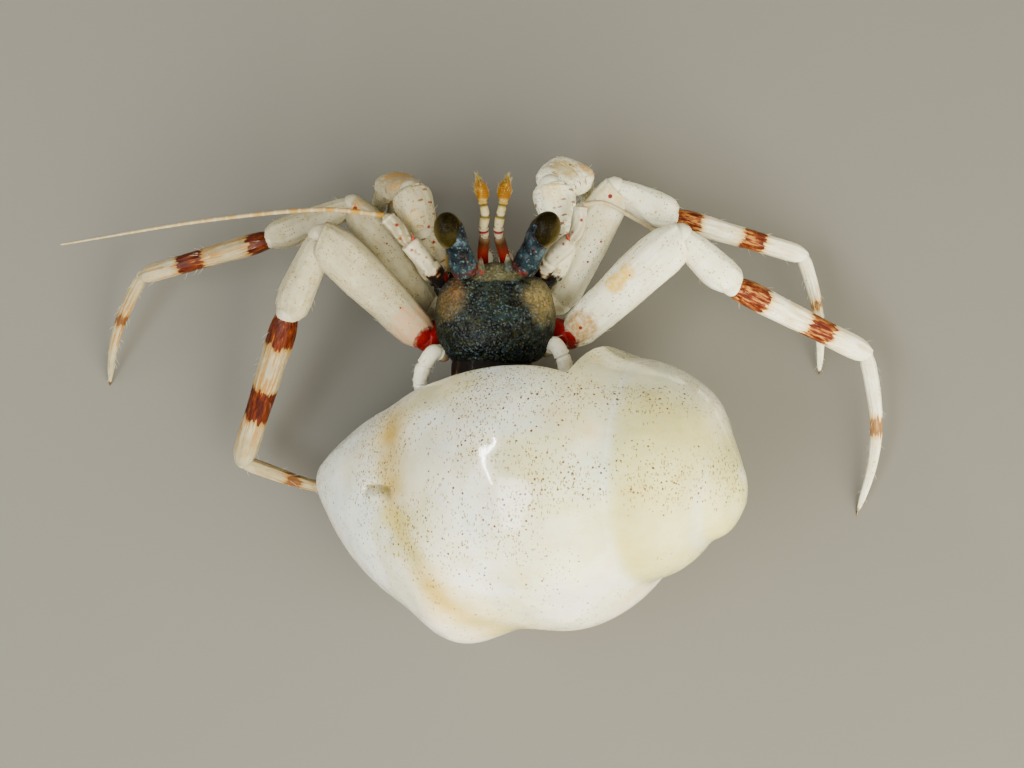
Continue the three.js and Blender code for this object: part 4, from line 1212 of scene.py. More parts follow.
# Stains: limb part, place along, angle round, reach in millimetres, colour, strength.
STAINS = {
    "leg3_left_merus": [(0.0, 90, 1.1, RED, 1.0), (0.08, 90, 2.0, (0.62, 0.36, 0.20), 0.6)],
    "leg3_right_merus": [(0.0, 90, 0.75, RED, 1.0), (0.12, 90, 1.2, (0.40, 0.23, 0.07), 0.8),
                         (0.5, 112, 0.75, (0.66, 0.40, 0.03), 0.8),
                         (0.6, 110, 0.6, (0.66, 0.42, 0.04), 0.7)],
    "leg3_left_coxa": [(0.6, 90, 1.6, RED, 1.0)],
    "leg3_right_coxa": [(0.6, 90, 1.6, RED, 1.0)],
    "cheliped_left_coxa": [(0.5, 90, 1.6, BLACK, 1.0)],
    "cheliped_right_coxa": [(0.5, 90, 1.6, BLACK, 1.0)],
    "cheliped_left_merus": [(0.02, 90, 1.25, BLACK, 1.0), (0.15, 90, 1.3, (0.20, 0.09, 0.02), 0.5),
                            (0.35, 25, 0.9, (0.36, 0.21, 0.02), 0.85),
                            (0.98, 150, 0.5, (0.5, 0.28, 0.06), 0.5)],
    "cheliped_right_merus": [(0.02, 90, 1.1, BLACK, 1.0), (0.15, 90, 1.2, (0.20, 0.09, 0.02), 0.5)],
    "cheliped_left_palm": [(0.3, 60, 1.5, (0.50, 0.27, 0.06), 0.9), (0.1, 120, 1.0, (0.5, 0.3, 0.1), 0.6)],
    "cheliped_left_finger": [(0.1, 90, 1.2, (0.48, 0.26, 0.06), 0.8)],
    "cheliped_right_palm": [(0.2, 90, 1.1, (0.55, 0.40, 0.14), 0.7),
                            (0.42, 60, 0.8, (0.58, 0.32, 0.08), 0.6)],
    "cheliped_left_carpus": [(0.3, 100, 0.8, (0.6, 0.45, 0.2), 0.5)],
    "cheliped_right_carpus": [(0.8, 90, 0.9, (0.62, 0.48, 0.2), 0.5)],
    "leg2_right_merus": [(0.95, 90, 1.0, (0.66, 0.50, 0.2), 0.5), (0.7, 60, 0.9, (0.66, 0.5, 0.22), 0.4)],
    "leg2_left_merus": [(0.98, 90, 0.7, (0.5, 0.3, 0.1), 0.55)],
}


def limb_tint(name, sheet):
    """Clear cuticle with the part's stains; alpha says how strongly a stain covers it."""
    tint = tinted(sheet.shape, CHITIN, 0.0)
    for place, angle, reach, colour, strength in STAINS.get(name, ()):
        far = np.linalg.norm(from_place(sheet, place, angle), axis=-1)
        mask = strength * smoothstep(far, reach, reach * 0.45)
        paint(tint, np.where(tint[..., 3] > mask, 0, mask) > 0.02, colour, 0.0)
        tint[..., 3] = np.maximum(tint[..., 3], mask)
    return tint


def claw_tip(sheet):
    """Amber, horny claw at the end of a walking leg."""
    tint = sheet.values["tint"]
    tip = smoothstep(sheet.share, 0.93, 0.965)[:, None] + np.zeros(sheet.shape)
    paint(tint, tip > 0.02, (0.10, 0.035, 0.006), 0.0)
    tint[..., 3] = np.maximum(tint[..., 3], tip)


def golden_stripes(kind, sheet):
    """Thin lengthwise lines that show through the two outer parts of a leg."""
    columns = sheet.shape[1]
    phi = np.arange(columns) / columns * 360
    lines = sum(bump_at(phi, angle, 5) for angle in (62, 100, 135))
    share = {"propodus": 0.55, "dactylus": 0.7}.get(kind, 0.0)
    return share * lines[None, :] * (0.6 + 0.6 * waves(sheet.points, 1.2, 45))


def finish_part(name, part, sheet, specks):
    """Stores on a limb part's sheet what the cuticle's finish reads."""
    kind = part.name
    # How much painted shade each left limb part gets; the right limbs get a little.
    shade = {"propodus": 1.0, "dactylus": 1.0}.get(kind, 0.85)
    marks = {"carpus": 0.35, "merus": 0.2, "palm": 0.25}.get(kind, 0.05)
    sheet.fill(
        specks=specks,
        solid=0.75 if kind == "dactylus" else 1.0,
        dull=shade if "_left" in name else 0.12,
        marks=marks if name.startswith("cheliped") else 0.0,
    )
    sheet.values["band"] = band_depth(part, sheet)
    sheet.values["spot"] = spot_offsets(name, sheet)
    sheet.values["tint"] = limb_tint(name, sheet)
    sheet.values["stripes"] = golden_stripes(kind, sheet)
    if kind == "dactylus":
        claw_tip(sheet)
    return sheet


def chela_sheets(palm, finger, start, side):
    """The palm with its fixed finger, and the moving finger beside it."""
    along, across, _ = part_axes(palm, side)
    f_along, _, f_over = part_axes(finger, side)
    wrist, knuckle = start, start + palm.length * along
    fixed_root = knuckle + 0.26 * palm.wide[1] * across - 0.35 * along
    fixed_tip = fixed_root + 0.98 * finger.length * f_along
    route = [wrist, lerp(wrist, knuckle, 0.5), lerp(knuckle, fixed_root, 0.35) - 0.25 * along,
             lerp(fixed_root, fixed_tip, 0.4), fixed_tip]
    centres, run = catmull(route, 150)
    t = run / run[-1]
    break_at = palm.length / run[-1]
    palm_wide = [(0, 0.62), (0.12, 0.86), (break_at * 0.8, 1.0)]
    palm_deep = [(0, 0.62), (0.12, 0.9), (break_at * 0.7, 1.0)]
    wide = eased([*palm_wide, (break_at * 1.12, 0.5), (0.8, 0.3), (1, 0.1)], t)
    deep = eased([*palm_deep, (break_at * 1.1, 0.66), (0.8, 0.4), (1, 0.12)], t)
    ends = round_ends(t, 0.05, 0.05)
    points = loft(centres, wide * ends * palm.wide[1] / 2, deep * ends * palm.deep[1] / 2,
                  upright(across, along), 72, 2.3)
    fixed = claw_surface(points, t, run, 51)
    root = knuckle - 0.24 * palm.wide[1] * across - 0.15 * along
    centres, run = catmull([root, lerp(root, root + f_along * finger.length, 0.5) + 0.12 * f_over,
                            root + f_along * finger.length * 0.99], 90)
    t = run / run[-1]
    size = eased([(0, 0.9), (0.3, 1.0), (0.7, 0.75), (1, 0.3)], t) * round_ends(t, 0.12, 0.08)
    points = loft(centres, size * finger.wide[0] / 2, size * finger.deep[0] / 2, across, 56, 2.2)
    return fixed, claw_surface(points, t, run, 52)


def claw_surface(points, t, run, seed):
    """A claw sheet with rows of small rounded tubercles on it."""
    columns = points.shape[1]
    phi = np.linspace(0, 2 * np.pi, columns, endpoint=False)
    middle = points.mean(axis=1, keepdims=True)
    radius = np.linalg.norm(points - middle, axis=-1)
    straight = np.stack([run[:, None] + 0 * phi, radius * np.cos(phi), radius * np.sin(phi)], -1)
    sheet = Sheet(points, t, straight=straight)
    distance, own = grains(straight, 0.3, seed)
    knobs = np.clip(1 - (distance / 0.36) ** 2, 0, 1) * (own > 0.45) * 0.06
    return sheet.raise_by((knobs + 0.02 * waves(straight, 0.3, seed)) * smoothstep(t, 0.02, 0.12)[:, None])


# Number of hairs on a limb part and their length in millimetres.
HAIRS = {
    "coxa": (5, 0.2),
    "merus": (26, 0.3),
    "carpus": (18, 0.36),
    "propodus": (26, 0.42),
    "dactylus": (44, 0.36),
}


def build_limb(limb, finish, bristles):
    """All parts of one limb, each standing for its own CAD node."""
    side, _, parts = LIMBS[limb]
    places = joint_places(limb)
    for k, part in enumerate(parts):
        if part.name == "finger":
            continue                    # it is built with its palm
        name = f"{limb}_{part.name}"
        specks = {"carpus": 0.9, "merus": 0.8, "palm": 0.8}.get(part.name, 0.1)
        if not limb.startswith("cheliped") and name != "leg3_left_merus":
            specks *= 0.5
        if part.name == "palm":
            fixed, moving = chela_sheets(part, parts[k + 1], places[k], side)
            add_part(name, [finish_part(name, part, fixed, specks)], finish, "limb")
            other = f"{limb}_finger"
            add_part(other, [finish_part(other, parts[k + 1], moving, specks)], finish, "limb")
            bristles.grow(fixed, 60, 0.28)
            bristles.grow(moving, 40, 0.28)
            continue
        after = parts[k + 1] if k + 1 < len(parts) else None
        bend = direction(after.heading, after.climb, SIDES[side]) if after else None
        sheet = limb_part(part, places[k], side, bend)
        add_part(name, [finish_part(name, part, sheet, specks)], finish, "limb")
        bristles.grow(sheet, *HAIRS[part.name])


def joint_plugs():
    """Soft plugs that close the joints between limb parts, each with its limb and its joint's number."""
    plugs = []
    for limb, (side, _, parts) in LIMBS.items():
        places = joint_places(limb)
        for k in range(1, len(parts)):
            before, after = parts[k - 1], parts[k]
            if after.name == "finger":
                continue
            a = direction(before.heading, before.climb, SIDES[side])
            b = direction(after.heading, after.climb, SIDES[side])
            half = 0.40 * min(before.wide[1], after.wide[0], before.deep[1], after.deep[0])
            ends = [places[k] - 0.42 * a, places[k], places[k] + 0.42 * b]
            centres, run = catmull(ends, 14)
            size = half * round_ends(run / run[-1], 0.45, 0.45)
            sheet = Sheet(loft(centres, size, size, (0.1, 0.2, 1.0), 28))
            sheet.limb, sheet.joint = limb, k
            plugs.append(sheet)
    return plugs


def build_joint_skin():
    """Thin bare skin in every joint: ivory on the legs, darker on the left side with painted shade, dark or
    red next to the body.
    """
    sheets = joint_plugs()
    for s in sheets:
        # The left joints are darker: painted shade.
        colour = (0.46, 0.41, 0.27) if s.limb.endswith("left") else (0.74, 0.70, 0.50)
        if s.joint == 1:
            colour = {"cheliped": BLACK, "leg2": CHITIN, "leg3": RED}[s.limb.split("_")[0]]
        s.values["tint"] = tinted(s.shape, colour)
    finish = plain_finish("joint skin", 0.35, 0.012, 0.1, (0.5, 0.3), 0.3)
    add_object("joint_skin", make_mesh("joint_skin", sheets), finish, "soft_body")


# ---------- eyes ----------
EYES = {
    "left": ((2.25, -5.3, 7.9), (3.02, -7.9, 9.5)),
    "right": ((-0.52, -5.45, 7.9), (-1.66, -7.95, 9.5)),
}
STALK_RADIUS = [(0, 0.48), (0.06, 0.6), (0.2, 0.66), (0.45, 0.61), (0.7, 0.61), (0.9, 0.58), (1, 0.5)]


def tube(route, radii, rows=80, columns=28, across=(0, 0, 1), flat=1.0, ends=(0.04, 0.04)):
    """Round sheet along a smooth route; the radius is read from (share of the way, radius) pairs."""
    centres, run = catmull(route, rows)
    share = run / run[-1]
    radius = eased(radii, share) * round_ends(share, *ends)
    return Sheet(loft(centres, radius * flat, radius, across, columns), share)


def coloured_along(sheet, stops):
    """Tints a tube by (share of the way, colour) stops."""
    places = [place for place, _ in stops]
    tint = tinted(sheet.shape, (0, 0, 0))
    for k in range(3):
        tint[..., k] = np.interp(sheet.share, places, [colour[k] for _, colour in stops])[:, None]
    sheet.values["tint"] = tint
    return tint


def stalk_sheet(side):
    """Thick stalk with a shallow waist, dark on top and paler at its root."""
    base, tip = (np.array(p) for p in EYES[side])
    sheet = tube([base, lerp(base, tip, 0.5), tip], STALK_RADIUS, 110, 72, (1, 0, 0), 1.0, (0.05, 0.16))
    points = sheet.points
    sheet.raise_by(0.03 * waves(points, 0.5, 61) + 0.012 * waves(points, 0.16, 62))
    tint = coloured_along(sheet, [(0, (0.035, 0.04, 0.03)), (0.2, (0.016, 0.031, 0.035)),
                                  (0.5, (0.010, 0.021, 0.026)), (0.7, (0.007, 0.013, 0.017)),
                                  (1, (0.007, 0.011, 0.012))])
    cloud = waves(points, 0.45, 63)
    paint(tint, smoothstep(cloud, 0.0, 0.4) * 0.85, (0.003, 0.004, 0.005))
    paint(tint, smoothstep(cloud, -0.35, -0.7) * 0.6, (0.05, 0.075, 0.085))
    root = smoothstep(sheet.share, 0.2, 0.02)[:, None] * smoothstep(waves(points, 0.5, 64), -0.3, 0.3)
    paint(tint, root, (0.12, 0.009, 0.003))
    return sheet


def cornea_sheet(side):
    """Swollen eye over the tip and the outer side of its stalk."""
    base, tip = (np.array(p) for p in EYES[side])
    along = unit(tip - base)
    outward = unit(np.array([SIDES[side], 0, 0]) - along * along[0] * SIDES[side])
    centre = tip - 0.62 * along + 0.17 * outward
    half = 0.98
    route = [centre - half * along, centre, centre + half * along]
    sheet = tube(route, [(0, 0.69), (1, 0.73)], 90, 84, (1, 0, 0), 1.0, (0.5, 0.5))
    tint = tinted(sheet.shape, (0.006, 0.004, 0.0006))
    facing = sheet.normals()
    # Paler on the outer side and, where the eye turns from facing up, a paler rim: painted rim sheen.
    outer = facing @ outward - 0.75 * np.abs(facing[..., 2]) + 0.25 * waves(sheet.points, 0.4, 66)
    paint(tint, 0.8 * smoothstep(outer, -0.4, 0.5), (0.05, 0.036, 0.010))
    paint(tint, 0.85 * smoothstep(facing[..., 2], 0.6, 0.15), (0.10, 0.076, 0.032))
    paint(tint, 0.45 * smoothstep(waves(sheet.points, 0.5, 67), 0.0, 0.6), (0.024, 0.018, 0.002))
    sheet.values["tint"] = tint
    return sheet


def scale_sheet(side):
    """Small pointed scale at the inner side of an eye's root."""
    sign = SIDES[side]
    base, _ = (np.array(p) for p in EYES[side])
    root = base + np.array([-0.62 * sign, -0.05, -0.05])
    tip = root + np.array([-0.12 * sign, -0.85, 0.1])
    route = [root, lerp(root, tip, 0.5) + (0, 0, 0.08), tip]
    sheet = tube(route, [(0, 0.3), (0.4, 0.26), (0.8, 0.12), (1, 0.03)], 50, 36, (0, 0, 1), 0.6)
    stops = [(0, (0.03, 0.04, 0.03)), (0.6, (0.08, 0.075, 0.04)), (1, (0.4, 0.36, 0.25))]
    tint = coloured_along(sheet, stops)
    paint(tint, 0.8 * smoothstep(waves(sheet.points, 0.3, 68), 0.05, 0.5), (0.15, 0.012, 0.005))
    return sheet


def build_eyes():
    stalks = eyestalk_finish()
    corneas = cornea_finish()
    for side in SIDES:
        add_part(f"eyestalk_{side}", [stalk_sheet(side), scale_sheet(side)], stalks, "eyestalk")
        add_part(f"cornea_{side}", [cornea_sheet(side)], corneas, "cornea")


# ---------- feelers ----------
# Routes of each side's stem and whip.
ANTENNULES = {
    "left": ([(1.42, -5.75, 6.35), (1.44, -6.5, 6.75), (1.36, -7.25, 7.2), (1.4, -7.7, 7.55),
              (1.32, -8.3, 7.8), (1.4, -8.78, 7.92)],
             [(1.4, -8.76, 7.92), (1.46, -9.35, 7.9), (1.64, -9.9, 7.6), (1.77, -10.35, 7.4)]),
    "right": ([(0.26, -5.75, 6.35), (0.42, -6.5, 6.75), (0.64, -7.25, 7.2), (0.66, -7.7, 7.55),
               (0.56, -8.3, 7.8), (0.44, -8.78, 7.92)],
              [(0.43, -8.76, 7.92), (0.38, -9.35, 7.9), (0.25, -9.9, 7.6), (0.17, -10.4, 7.4)]),
}
ANTENNAE = {
    "left": ([(3.35, -5.05, 6.35), (4.1, -5.8, 7.35), (4.9, -6.75, 8.1), (6.2, -8.25, 8.2)],
             [(6.1, -8.2, 8.16), (8.4, -8.5, 8.0), (10.4, -8.5, 7.7), (15.4, -8.05, 6.9),
              (22.7, -7.0, 5.6)]),
    "right": ([(-1.3, -5.4, 5.9), (-2.0, -6.2, 7.3), (-3.1, -7.3, 8.3), (-3.35, -8.8, 8.4)],
              [(-3.35, -8.7, 8.38), (-4.5, -8.9, 7.5), (-6.2, -8.2, 6.2), (-7.6, -7.6, 5.0),
               (-9.3, -7.65, 3.6), (-11.8, -7.5, 2.9), (-14.6, -7.1, 2.1)]),
}
GLASS = (0.38, 0.33, 0.21)
CRIMSON = (0.13, 0.008, 0.010)


def ringed(sheet, borders, depth):
    """Narrows a tube at its joints and gives each part a thin raised rim."""
    change = np.zeros(len(sheet.share))
    for place in borders:
        change -= depth * bump_at(sheet.share, place + 0.006, 0.014)
        change += 0.4 * depth * bump_at(sheet.share, place - 0.02, 0.012)
    sheet.raise_by(change[:, None] + np.zeros(sheet.shape))


def antennule_stem(side):
    """Three-part stem: red and brown, then glassy white with a crimson ring, then ringed with olive."""
    radii = [(0, 0.2), (0.08, 0.27), (0.46, 0.28), (0.52, 0.22), (0.62, 0.25), (0.68, 0.22), (0.8, 0.24),
             (0.9, 0.21), (1, 0.2)]
    sheet = tube(ANTENNULES[side][0], radii, 160, 40)
    ringed(sheet, (0.505, 0.66, 0.84), 0.06)
    red, brown, olive = (0.24, 0.006, 0.002), (0.055, 0.018, 0.004), (0.12, 0.085, 0.008)
    clear = (0.38, 0.33, 0.20)
    stops = [(0, red), (0.2, red), (0.3, (0.17, 0.018, 0.006)), (0.42, brown), (0.49, (0.12, 0.07, 0.03)),
             (0.515, (0.36, 0.30, 0.20)), (0.59, (0.33, 0.28, 0.19)), (0.605, CRIMSON), (0.632, CRIMSON),
             (0.645, clear), (0.79, (0.34, 0.28, 0.13)), (0.815, olive), (0.83, olive), (0.85, clear),
             (0.95, (0.36, 0.28, 0.10)), (1, olive)]
    tint = coloured_along(sheet, stops)
    flecks = smoothstep(waves(sheet.points, 0.12, 71), 0.45, 0.75) * (sheet.share > 0.42)[:, None]
    paint(tint, flecks * 0.7, (0.12, 0.03, 0.012))
    return sheet


def antennule_whip(side):
    """Short brush-like end: orange bulb that fades into a thin pale tip."""
    radii = [(0, 0.19), (0.06, 0.22), (0.1, 0.19), (0.22, 0.3), (0.42, 0.35), (0.62, 0.25), (0.8, 0.14),
             (1, 0.05)]
    sheet = tube(ANTENNULES[side][1], radii, 120, 44)
    rings = np.sin(sheet.share * 150)[:, None] * 0.012
    sheet.raise_by(rings + 0.03 * waves(sheet.points, 0.16, 72))
    tint = coloured_along(sheet, [(0, (0.25, 0.17, 0.03)), (0.1, (0.36, 0.25, 0.07)),
                                  (0.18, (0.17, 0.065, 0.0001)), (0.5, (0.20, 0.08, 0.0001)),
                                  (0.7, (0.20, 0.095, 0.001)), (0.85, (0.22, 0.15, 0.025)),
                                  (1, (0.26, 0.2, 0.08))])
    paint(tint, smoothstep(waves(sheet.points, 0.25, 73), 0.2, 0.6) * 0.5, (0.34, 0.20, 0.008))
    # Paler rim where the bulb turns from facing up: painted rim sheen.
    rim = smoothstep(sheet.normals()[..., 2], 0.55, 0.2) * smoothstep(sheet.share, 0.2, 0.35)[:, None]
    paint(tint, 0.75 * rim, (0.34, 0.26, 0.13))
    return sheet


def antenna_stem(side):
    """Olive and orange root, then two pale parts with raised rims and a red spot."""
    radii = [(0, 0.4), (0.1, 0.46), (0.28, 0.46), (0.33, 0.42), (0.6, 0.47), (0.66, 0.36), (0.9, 0.38),
             (1, 0.3)]
    sheet = tube(ANTENNAE[side][0], radii, 170, 44)
    ringed(sheet, (0.31, 0.64, 0.97), 0.07)
    sheet.raise_by(0.035 * waves(sheet.points, 0.35, 80) + 0.015 * waves(sheet.points, 0.12, 81))
    # The left stem's pale parts are darker than the right's: painted shade.
    white = (0.27, 0.23, 0.13) if side == "left" else (0.42, 0.38, 0.25)
    tint = coloured_along(sheet, [(0, white), (0.6, (0.46, 0.41, 0.27)), (0.66, (0.22, 0.18, 0.09)),
                                  (0.9, white), (0.97, (0.42, 0.36, 0.22)), (1, (0.30, 0.21, 0.08))])
    rows, columns = sheet.shape
    turn = 7 * np.arange(columns) / columns * 2 * np.pi
    ribs = 0.5 + 0.5 * np.cos(turn + 3 * waves(sheet.points, 1.0, 79))
    paint(tint, 0.35 * smoothstep(ribs, 0.55, 0.95), (0.66, 0.62, 0.46))
    ragged = sheet.share[:, None] + 0.09 * waves(sheet.points, 0.4, 76)
    ragged = ragged + 0.05 * waves(sheet.points, 0.12, 77)
    paint(tint, smoothstep(ragged, 0.25, 0.2), (0.12, 0.045, 0.01))
    paint(tint, smoothstep(ragged, 0.21, 0.18), BLACK)
    if side == "left":
        inner = sheet.points[..., 0] + 0.1 * waves(sheet.points, 0.3, 78)
        paint(tint, smoothstep(inner, 3.35, 3.15), RED)
    marks = waves(sheet.points, 0.18, 74)
    strength = 0.75 if side == "left" else 0.25
    paint(tint, smoothstep(marks, 0.3, 0.65) * (sheet.share > 0.26)[:, None] * strength, (0.18, 0.09, 0.02))
    spots = ((0.84, 0.97, 0.09), (0.58, 0.05, 0.08), (0.72, 0.1, 0.06), (0.44, 0.95, 0.06))
    for place, turns, reach in spots:
        spot = sheet.points[int(place * (rows - 1)), int(turns * columns)]
        far = np.linalg.norm(sheet.points - spot, axis=-1)
        paint(tint, smoothstep(far, reach * 1.2, reach * 0.7), (0.19, 0.012, 0.006))
    return sheet


def antenna_whip(side):
    """Long thin whip in orange pieces with pale joints."""
    route = ANTENNAE[side][1]
    length = float(np.sum(np.linalg.norm(np.diff(np.array(route), axis=0), axis=1)))
    rows = int(length * 26)
    sheet = tube(route, [(0, 0.15), (0.04, 0.12), (0.5, 0.09), (1, 0.04)], rows, 18, ends=(0.01, 0.004))
    place = sheet.share * length / 0.62
    joint = bump_at(place - np.round(place), 0, 0.09)
    sheet.raise_by((0.007 * joint)[:, None] + np.zeros(sheet.shape))
    fade = smoothstep(sheet.share, 0.0, 1.0)
    amber = lerp(np.array([0.30, 0.15, 0.010]), np.array([0.38, 0.28, 0.11]), fade[:, None])
    uneven = 0.75 + 0.25 * np.sin(place * 2.7 + 1.5 * np.sin(place * 0.37))
    tint = tinted(sheet.shape, GLASS)
    share = np.clip((1 - joint) * uneven, 0, 1)[:, None] * (1.0 if side == "left" else 0.3)
    tint[..., :3] = lerp(np.array(GLASS), amber, share)[:, None, :]
    sheet.values["tint"] = tint
    return sheet


def spine(root, tip, thick, colour):
    """A small sharp spine."""
    radii = [(0, thick), (0.6, 0.55 * thick), (1, 0.1 * thick)]
    sheet = tube([root, lerp(root, tip, 0.5), tip], radii, 24, 16, (0.3, 0.2, 1))
    sheet.values["tint"] = tinted(sheet.shape, colour)
    return sheet


def build_feelers(bristles):
    clear = plain_finish("feelers", 0.35, 0.012, 0.07, (0.15, 0.15), 0.08, 0.12)
    for side in SIDES:
        stem, whip = antennule_stem(side), antennule_whip(side)
        add_part(f"antennule_stem_{side}", [stem], clear, "antennule")
        add_part(f"antennule_whip_{side}", [whip], clear, "antennule")
        bristles.grow(whip, 60, 0.2, (0.3, 0.98), (0.5, 0.34, 0.1))
        stem = antenna_stem(side)
        joint = stem.points[int(0.62 * (len(stem.points) - 1))].mean(axis=0)
        sign = SIDES[side]
        root, tip = joint + (-0.1 * sign, 0.05, 0.3), joint + (-0.22 * sign, -0.45, 0.42)
        thorn = spine(root, tip, 0.09, (0.3, 0.03, 0.015))
        add_part(f"antenna_stem_{side}", [stem, thorn], clear, "feeler")
        add_part(f"antenna_whip_{side}", [antenna_whip(side)], clear, "feeler")
        bristles.grow(stem, 16, 0.3)


# ---------- small legs ----------
MOUTH_LEGS = {
    "left": [(1.5, -5.0, 4.1), (1.38, -6.0, 4.1), (1.33, -6.55, 3.2), (1.28, -6.2, 2.1)],
    "right": [(0.16, -5.0, 4.1), (0.28, -6.0, 4.1), (0.33, -6.55, 3.2), (0.38, -6.2, 2.1)],
}
BRACE_LEGS = {
    "left": [(3.3, -1.4, 5.9), (3.9, -1.55, 6.8), (4.3, -1.0, 6.9), (4.55, -0.2, 6.5), (4.5, 0.6, 5.9)],
    "right": [(-1.5, -1.6, 5.9), (-2.1, -1.95, 6.8), (-2.5, -1.35, 6.9), (-2.68, -0.6, 6.5),
              (-2.6, 0.1, 5.9)],
}
MOUTH_RADIUS = [(0, 0.3), (0.1, 0.37), (0.5, 0.35), (0.8, 0.29), (1, 0.16)]
BRACE_RADIUS = [(0, 0.3), (0.15, 0.4), (0.5, 0.38), (0.8, 0.36), (0.93, 0.3), (1, 0.18)]


def small_leg(route, radii, borders, colours):
    sheet = tube(route, radii, 150, 44)
    ringed(sheet, borders, 0.08)
    sheet.raise_by(0.02 * waves(sheet.points, 0.4, 75))
    coloured_along(sheet, colours)
    return sheet


def build_small_legs(bristles):
    """Mouth legs folded under the head, and the short legs that brace the shell."""
    clear = plain_finish("small legs", 0.34, 0.015, 0.09, (0.45, 0.35), 0.25)
    ivory, flesh = (0.78, 0.74, 0.56), (0.60, 0.40, 0.22)
    for side in SIDES:
        colours = [(0, flesh), (0.3, ivory), (0.56, ivory), (0.8, (0.55, 0.34, 0.14)), (1, ivory)]
        mouth = small_leg(MOUTH_LEGS[side], MOUTH_RADIUS, (0.3, 0.56, 0.8), colours)
        add_part(f"mouth_leg_{side}", [mouth], clear, "limb")
        bristles.grow(mouth, 90, 0.35, (0.45, 0.98), (0.6, 0.46, 0.25))
        colours = [(0, (0.2, 0.05, 0.015)), (0.14, (0.45, 0.32, 0.16)), (0.24, ivory), (1, ivory)]
        brace = small_leg(BRACE_LEGS[side], BRACE_RADIUS, (0.22, 0.5, 0.76), colours)
        add_part(f"leg4_{side}", [brace], clear, "limb")
        bristles.grow(brace, 40, 0.3, (0.3, 0.97))


# ---------- bristles ----------
class Bristles:
    """Fine hairs that grow from the limbs, gathered into one mesh."""

    def __init__(self, seed):
        self.random = np.random.default_rng(seed)
        self.hairs = []

    def grow(self, sheet, count, length, rows=(0.04, 0.97), colour=(0.62, 0.52, 0.30)):
        """Hairs at random places of a sheet, leaning towards its far end."""
        r = self.random
        points, normals = sheet.points, sheet.normals()
        total = int(np.count_nonzero(np.diff(sheet.share) > 0))
        for _ in range(count):
            share = r.uniform(*rows)
            i = int(np.argmin(np.abs(sheet.share[:total] - share)))
            j = int(r.integers(points.shape[1]))
            along = unit(points[min(i + 2, total - 1), j] - points[max(i - 2, 0), j])
            out = normals[i, j] * r.uniform(0.5, 1.0)
            lean = unit(out + along * r.uniform(0.5, 1.3) + r.normal(0, 0.15, 3))
            size = length * r.uniform(0.45, 1.15)
            tip = points[i, j] + size * (lean + 0.22 * along)
            if tip[2] < 0.05:
                continue        # it would reach the floor
            root = points[i, j] - 0.02 * normals[i, j]
            self.hairs.append((root, lean, along, size, colour))

    def build(self, name, material, slot):
        """Each hair is a bent three-sided spike of four rings, with a bake patch of its own."""
        steps = np.array([0.0, 0.35, 0.7, 1.0])
        thick = 0.012 * np.array([1.0, 0.8, 0.5, 0.08])
        grid = 64                       # bake patches each way
        points, tints, faces, cells = [], [], [], []
        ring = np.array([[math.cos(a), math.sin(a)] for a in (0, 2.094, 4.189)])
        for number, (root, lean, along, size, colour) in enumerate(self.hairs):
            side = unit(np.cross(lean, along + np.array([0.01, 0.02, 0.0])))
            up = np.cross(side, lean)
            base = len(points)
            for step, t in zip(steps, thick):
                centre = root + size * (lean * step + along * 0.22 * step ** 2)
                for c, s in ring:
                    points.append(centre + t * (c * side + s * up))
                    tints.append((*colour, 1.0))
            for k in range(3):
                for j in range(3):
                    a, b = base + 3 * k + j, base + 3 * k + (j + 1) % 3
                    faces.append((a, b, b + 3, a + 3))
            faces.append((base + 2, base + 1, base))
            faces.append((base + 9, base + 10, base + 11))
            cells.append(((number % grid + 0.5) / grid, (number // grid % grid + 0.5) / grid))
        self.write(name, points, tints, faces, np.array(cells), material, slot)

    def write(self, name, points, tints, faces, cells, material, slot):
        mesh = bpy.data.meshes.new(name)
        mesh.from_pydata(((np.array(points) + SHIFT) * MM).tolist(), [], faces)
        write_values(mesh, "tint", np.array(tints))
        layer = mesh.uv_layers.new(name="OFBake")
        corner = np.empty(len(mesh.loops), np.int32)
        mesh.loops.foreach_get("vertex_index", corner)
        hair, inner = corner // 12, corner % 12
        patch = np.stack([inner % 3 / 3 - 0.33, inner // 3 / 3 - 0.5], -1) * 0.003
        layer.data.foreach_set("uv", (cells[hair] + patch).astype(np.float32).ravel())
        mesh.shade_smooth()
        add_object(name, mesh, material, slot)


# ---------- scene ----------
def build_floor():
    reach = 600 * MM
    mesh = bpy.data.meshes.new("floor")
    corners = [(x * reach, y * reach, 0) for x, y in ((-1, -1), (1, -1), (1, 1), (-1, 1))]
    mesh.from_pydata(corners, [], [(0, 1, 2, 3)])
    mesh.materials.append(floor_finish())
    floor = bpy.data.objects.new("floor", mesh)
    bpy.context.scene.collection.objects.link(floor)


def add_lamp(name, place, size, watts, colour, lengthwise=(0, 1, 0)):
    """A rectangular lamp that looks at the middle of the animal; places in millimetres."""
    lamp = bpy.data.lights.new(name, "AREA")
    lamp.shape, lamp.size, lamp.size_y = "RECTANGLE", size[0] * MM, size[1] * MM
    lamp.energy, lamp.color = watts, colour
    o = bpy.data.objects.new(name, lamp)
    o.location = np.array(place) * MM
    back = (Vector(place) - Vector((0, 0, 6))).normalized()
    level = back.cross(Vector(lengthwise)).normalized()
    o.rotation_euler = Matrix((level.cross(back), level, back)).transposed().to_euler()
    bpy.context.scene.collection.objects.link(o)
    return o


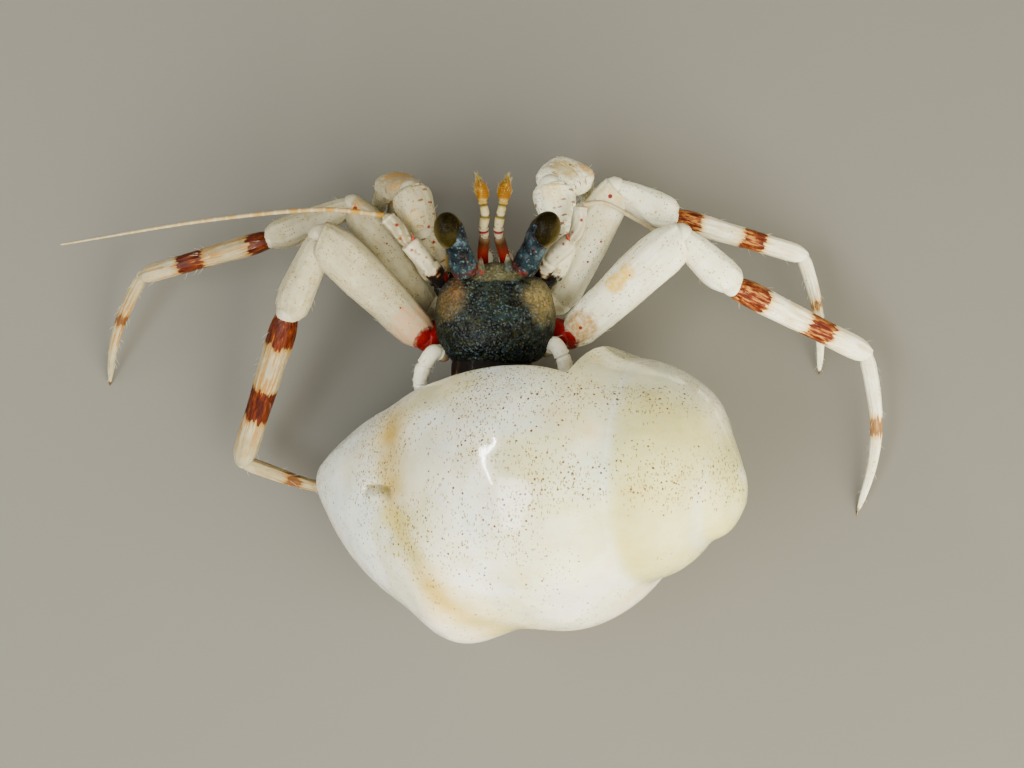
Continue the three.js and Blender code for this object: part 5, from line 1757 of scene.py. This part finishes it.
def build_sky():
    """Dim, warm surroundings with one broad bright side, so that no lamp shows as a sharp spot."""
    world = bpy.data.worlds.new("studio")
    bpy.context.scene.world = world
    world.use_nodes = True
    tree = world.node_tree
    coordinates = tree.nodes.new("ShaderNodeTexCoord")
    facing = tree.nodes.new("ShaderNodeVectorMath")
    facing.operation = "DOT_PRODUCT"
    facing.inputs[1].default_value = Vector((-0.66, 0.50, 0.56)).normalized()
    tree.links.new(coordinates.outputs["Generated"], facing.inputs[0])
    strength = tree.nodes.new("ShaderNodeMapRange")
    strength.interpolation_type = "SMOOTHERSTEP"
    tree.links.new(facing.outputs["Value"], strength.inputs["Value"])
    for key, number in (("From Min", 0.2), ("From Max", 1.0), ("To Min", 0.26), ("To Max", 2.4)):
        strength.inputs[key].default_value = number
    background = tree.nodes["Background"]
    background.inputs["Color"].default_value = (1.0, 0.975, 0.84, 1)
    tree.links.new(strength.outputs["Result"], background.inputs["Strength"])


def build_lights():
    build_sky()
    key = add_lamp("key", (-92, 78, 92), (150, 150), 0.62, (1.0, 0.97, 0.82))
    low = add_lamp("low", (-20, 150, 55), (130, 60), 0.28, (1.0, 0.97, 0.84))
    key.visible_glossy = low.visible_glossy = False
    add_lamp("window", (130, 50, 215), (190, 100), 0.75, (0.97, 1.0, 1.0))
    add_lamp("tube", (215, -80, 172), (140, 4), 0.3, (1.0, 1.0, 0.97), (-0.6, 1, 0))


def build_camera():
    """Looks straight down on the animal, its head towards the top of the frame."""
    data = bpy.data.cameras.new("camera")
    camera = bpy.data.objects.new("camera", data)
    height = 91.0
    data.lens = 59.765625
    data.clip_start, data.clip_end = 0.002, 10.0
    camera.location = (SHIFT + np.array([0, 0, height])) * MM
    camera.rotation_euler = (0, 0, math.pi)
    bpy.context.scene.collection.objects.link(camera)
    bpy.context.scene.camera = camera


build_shell()
build_shield()
build_body_skin()
build_joint_skin()
cuticle = limb_finish()
hairs = Bristles(5)
for limb_name in LIMBS:
    build_limb(limb_name, cuticle, hairs)
build_eyes()
build_feelers(hairs)
build_small_legs(hairs)
hairs.build("bristles", bristle_finish(), "limb")
build_floor()
build_lights()
build_camera()
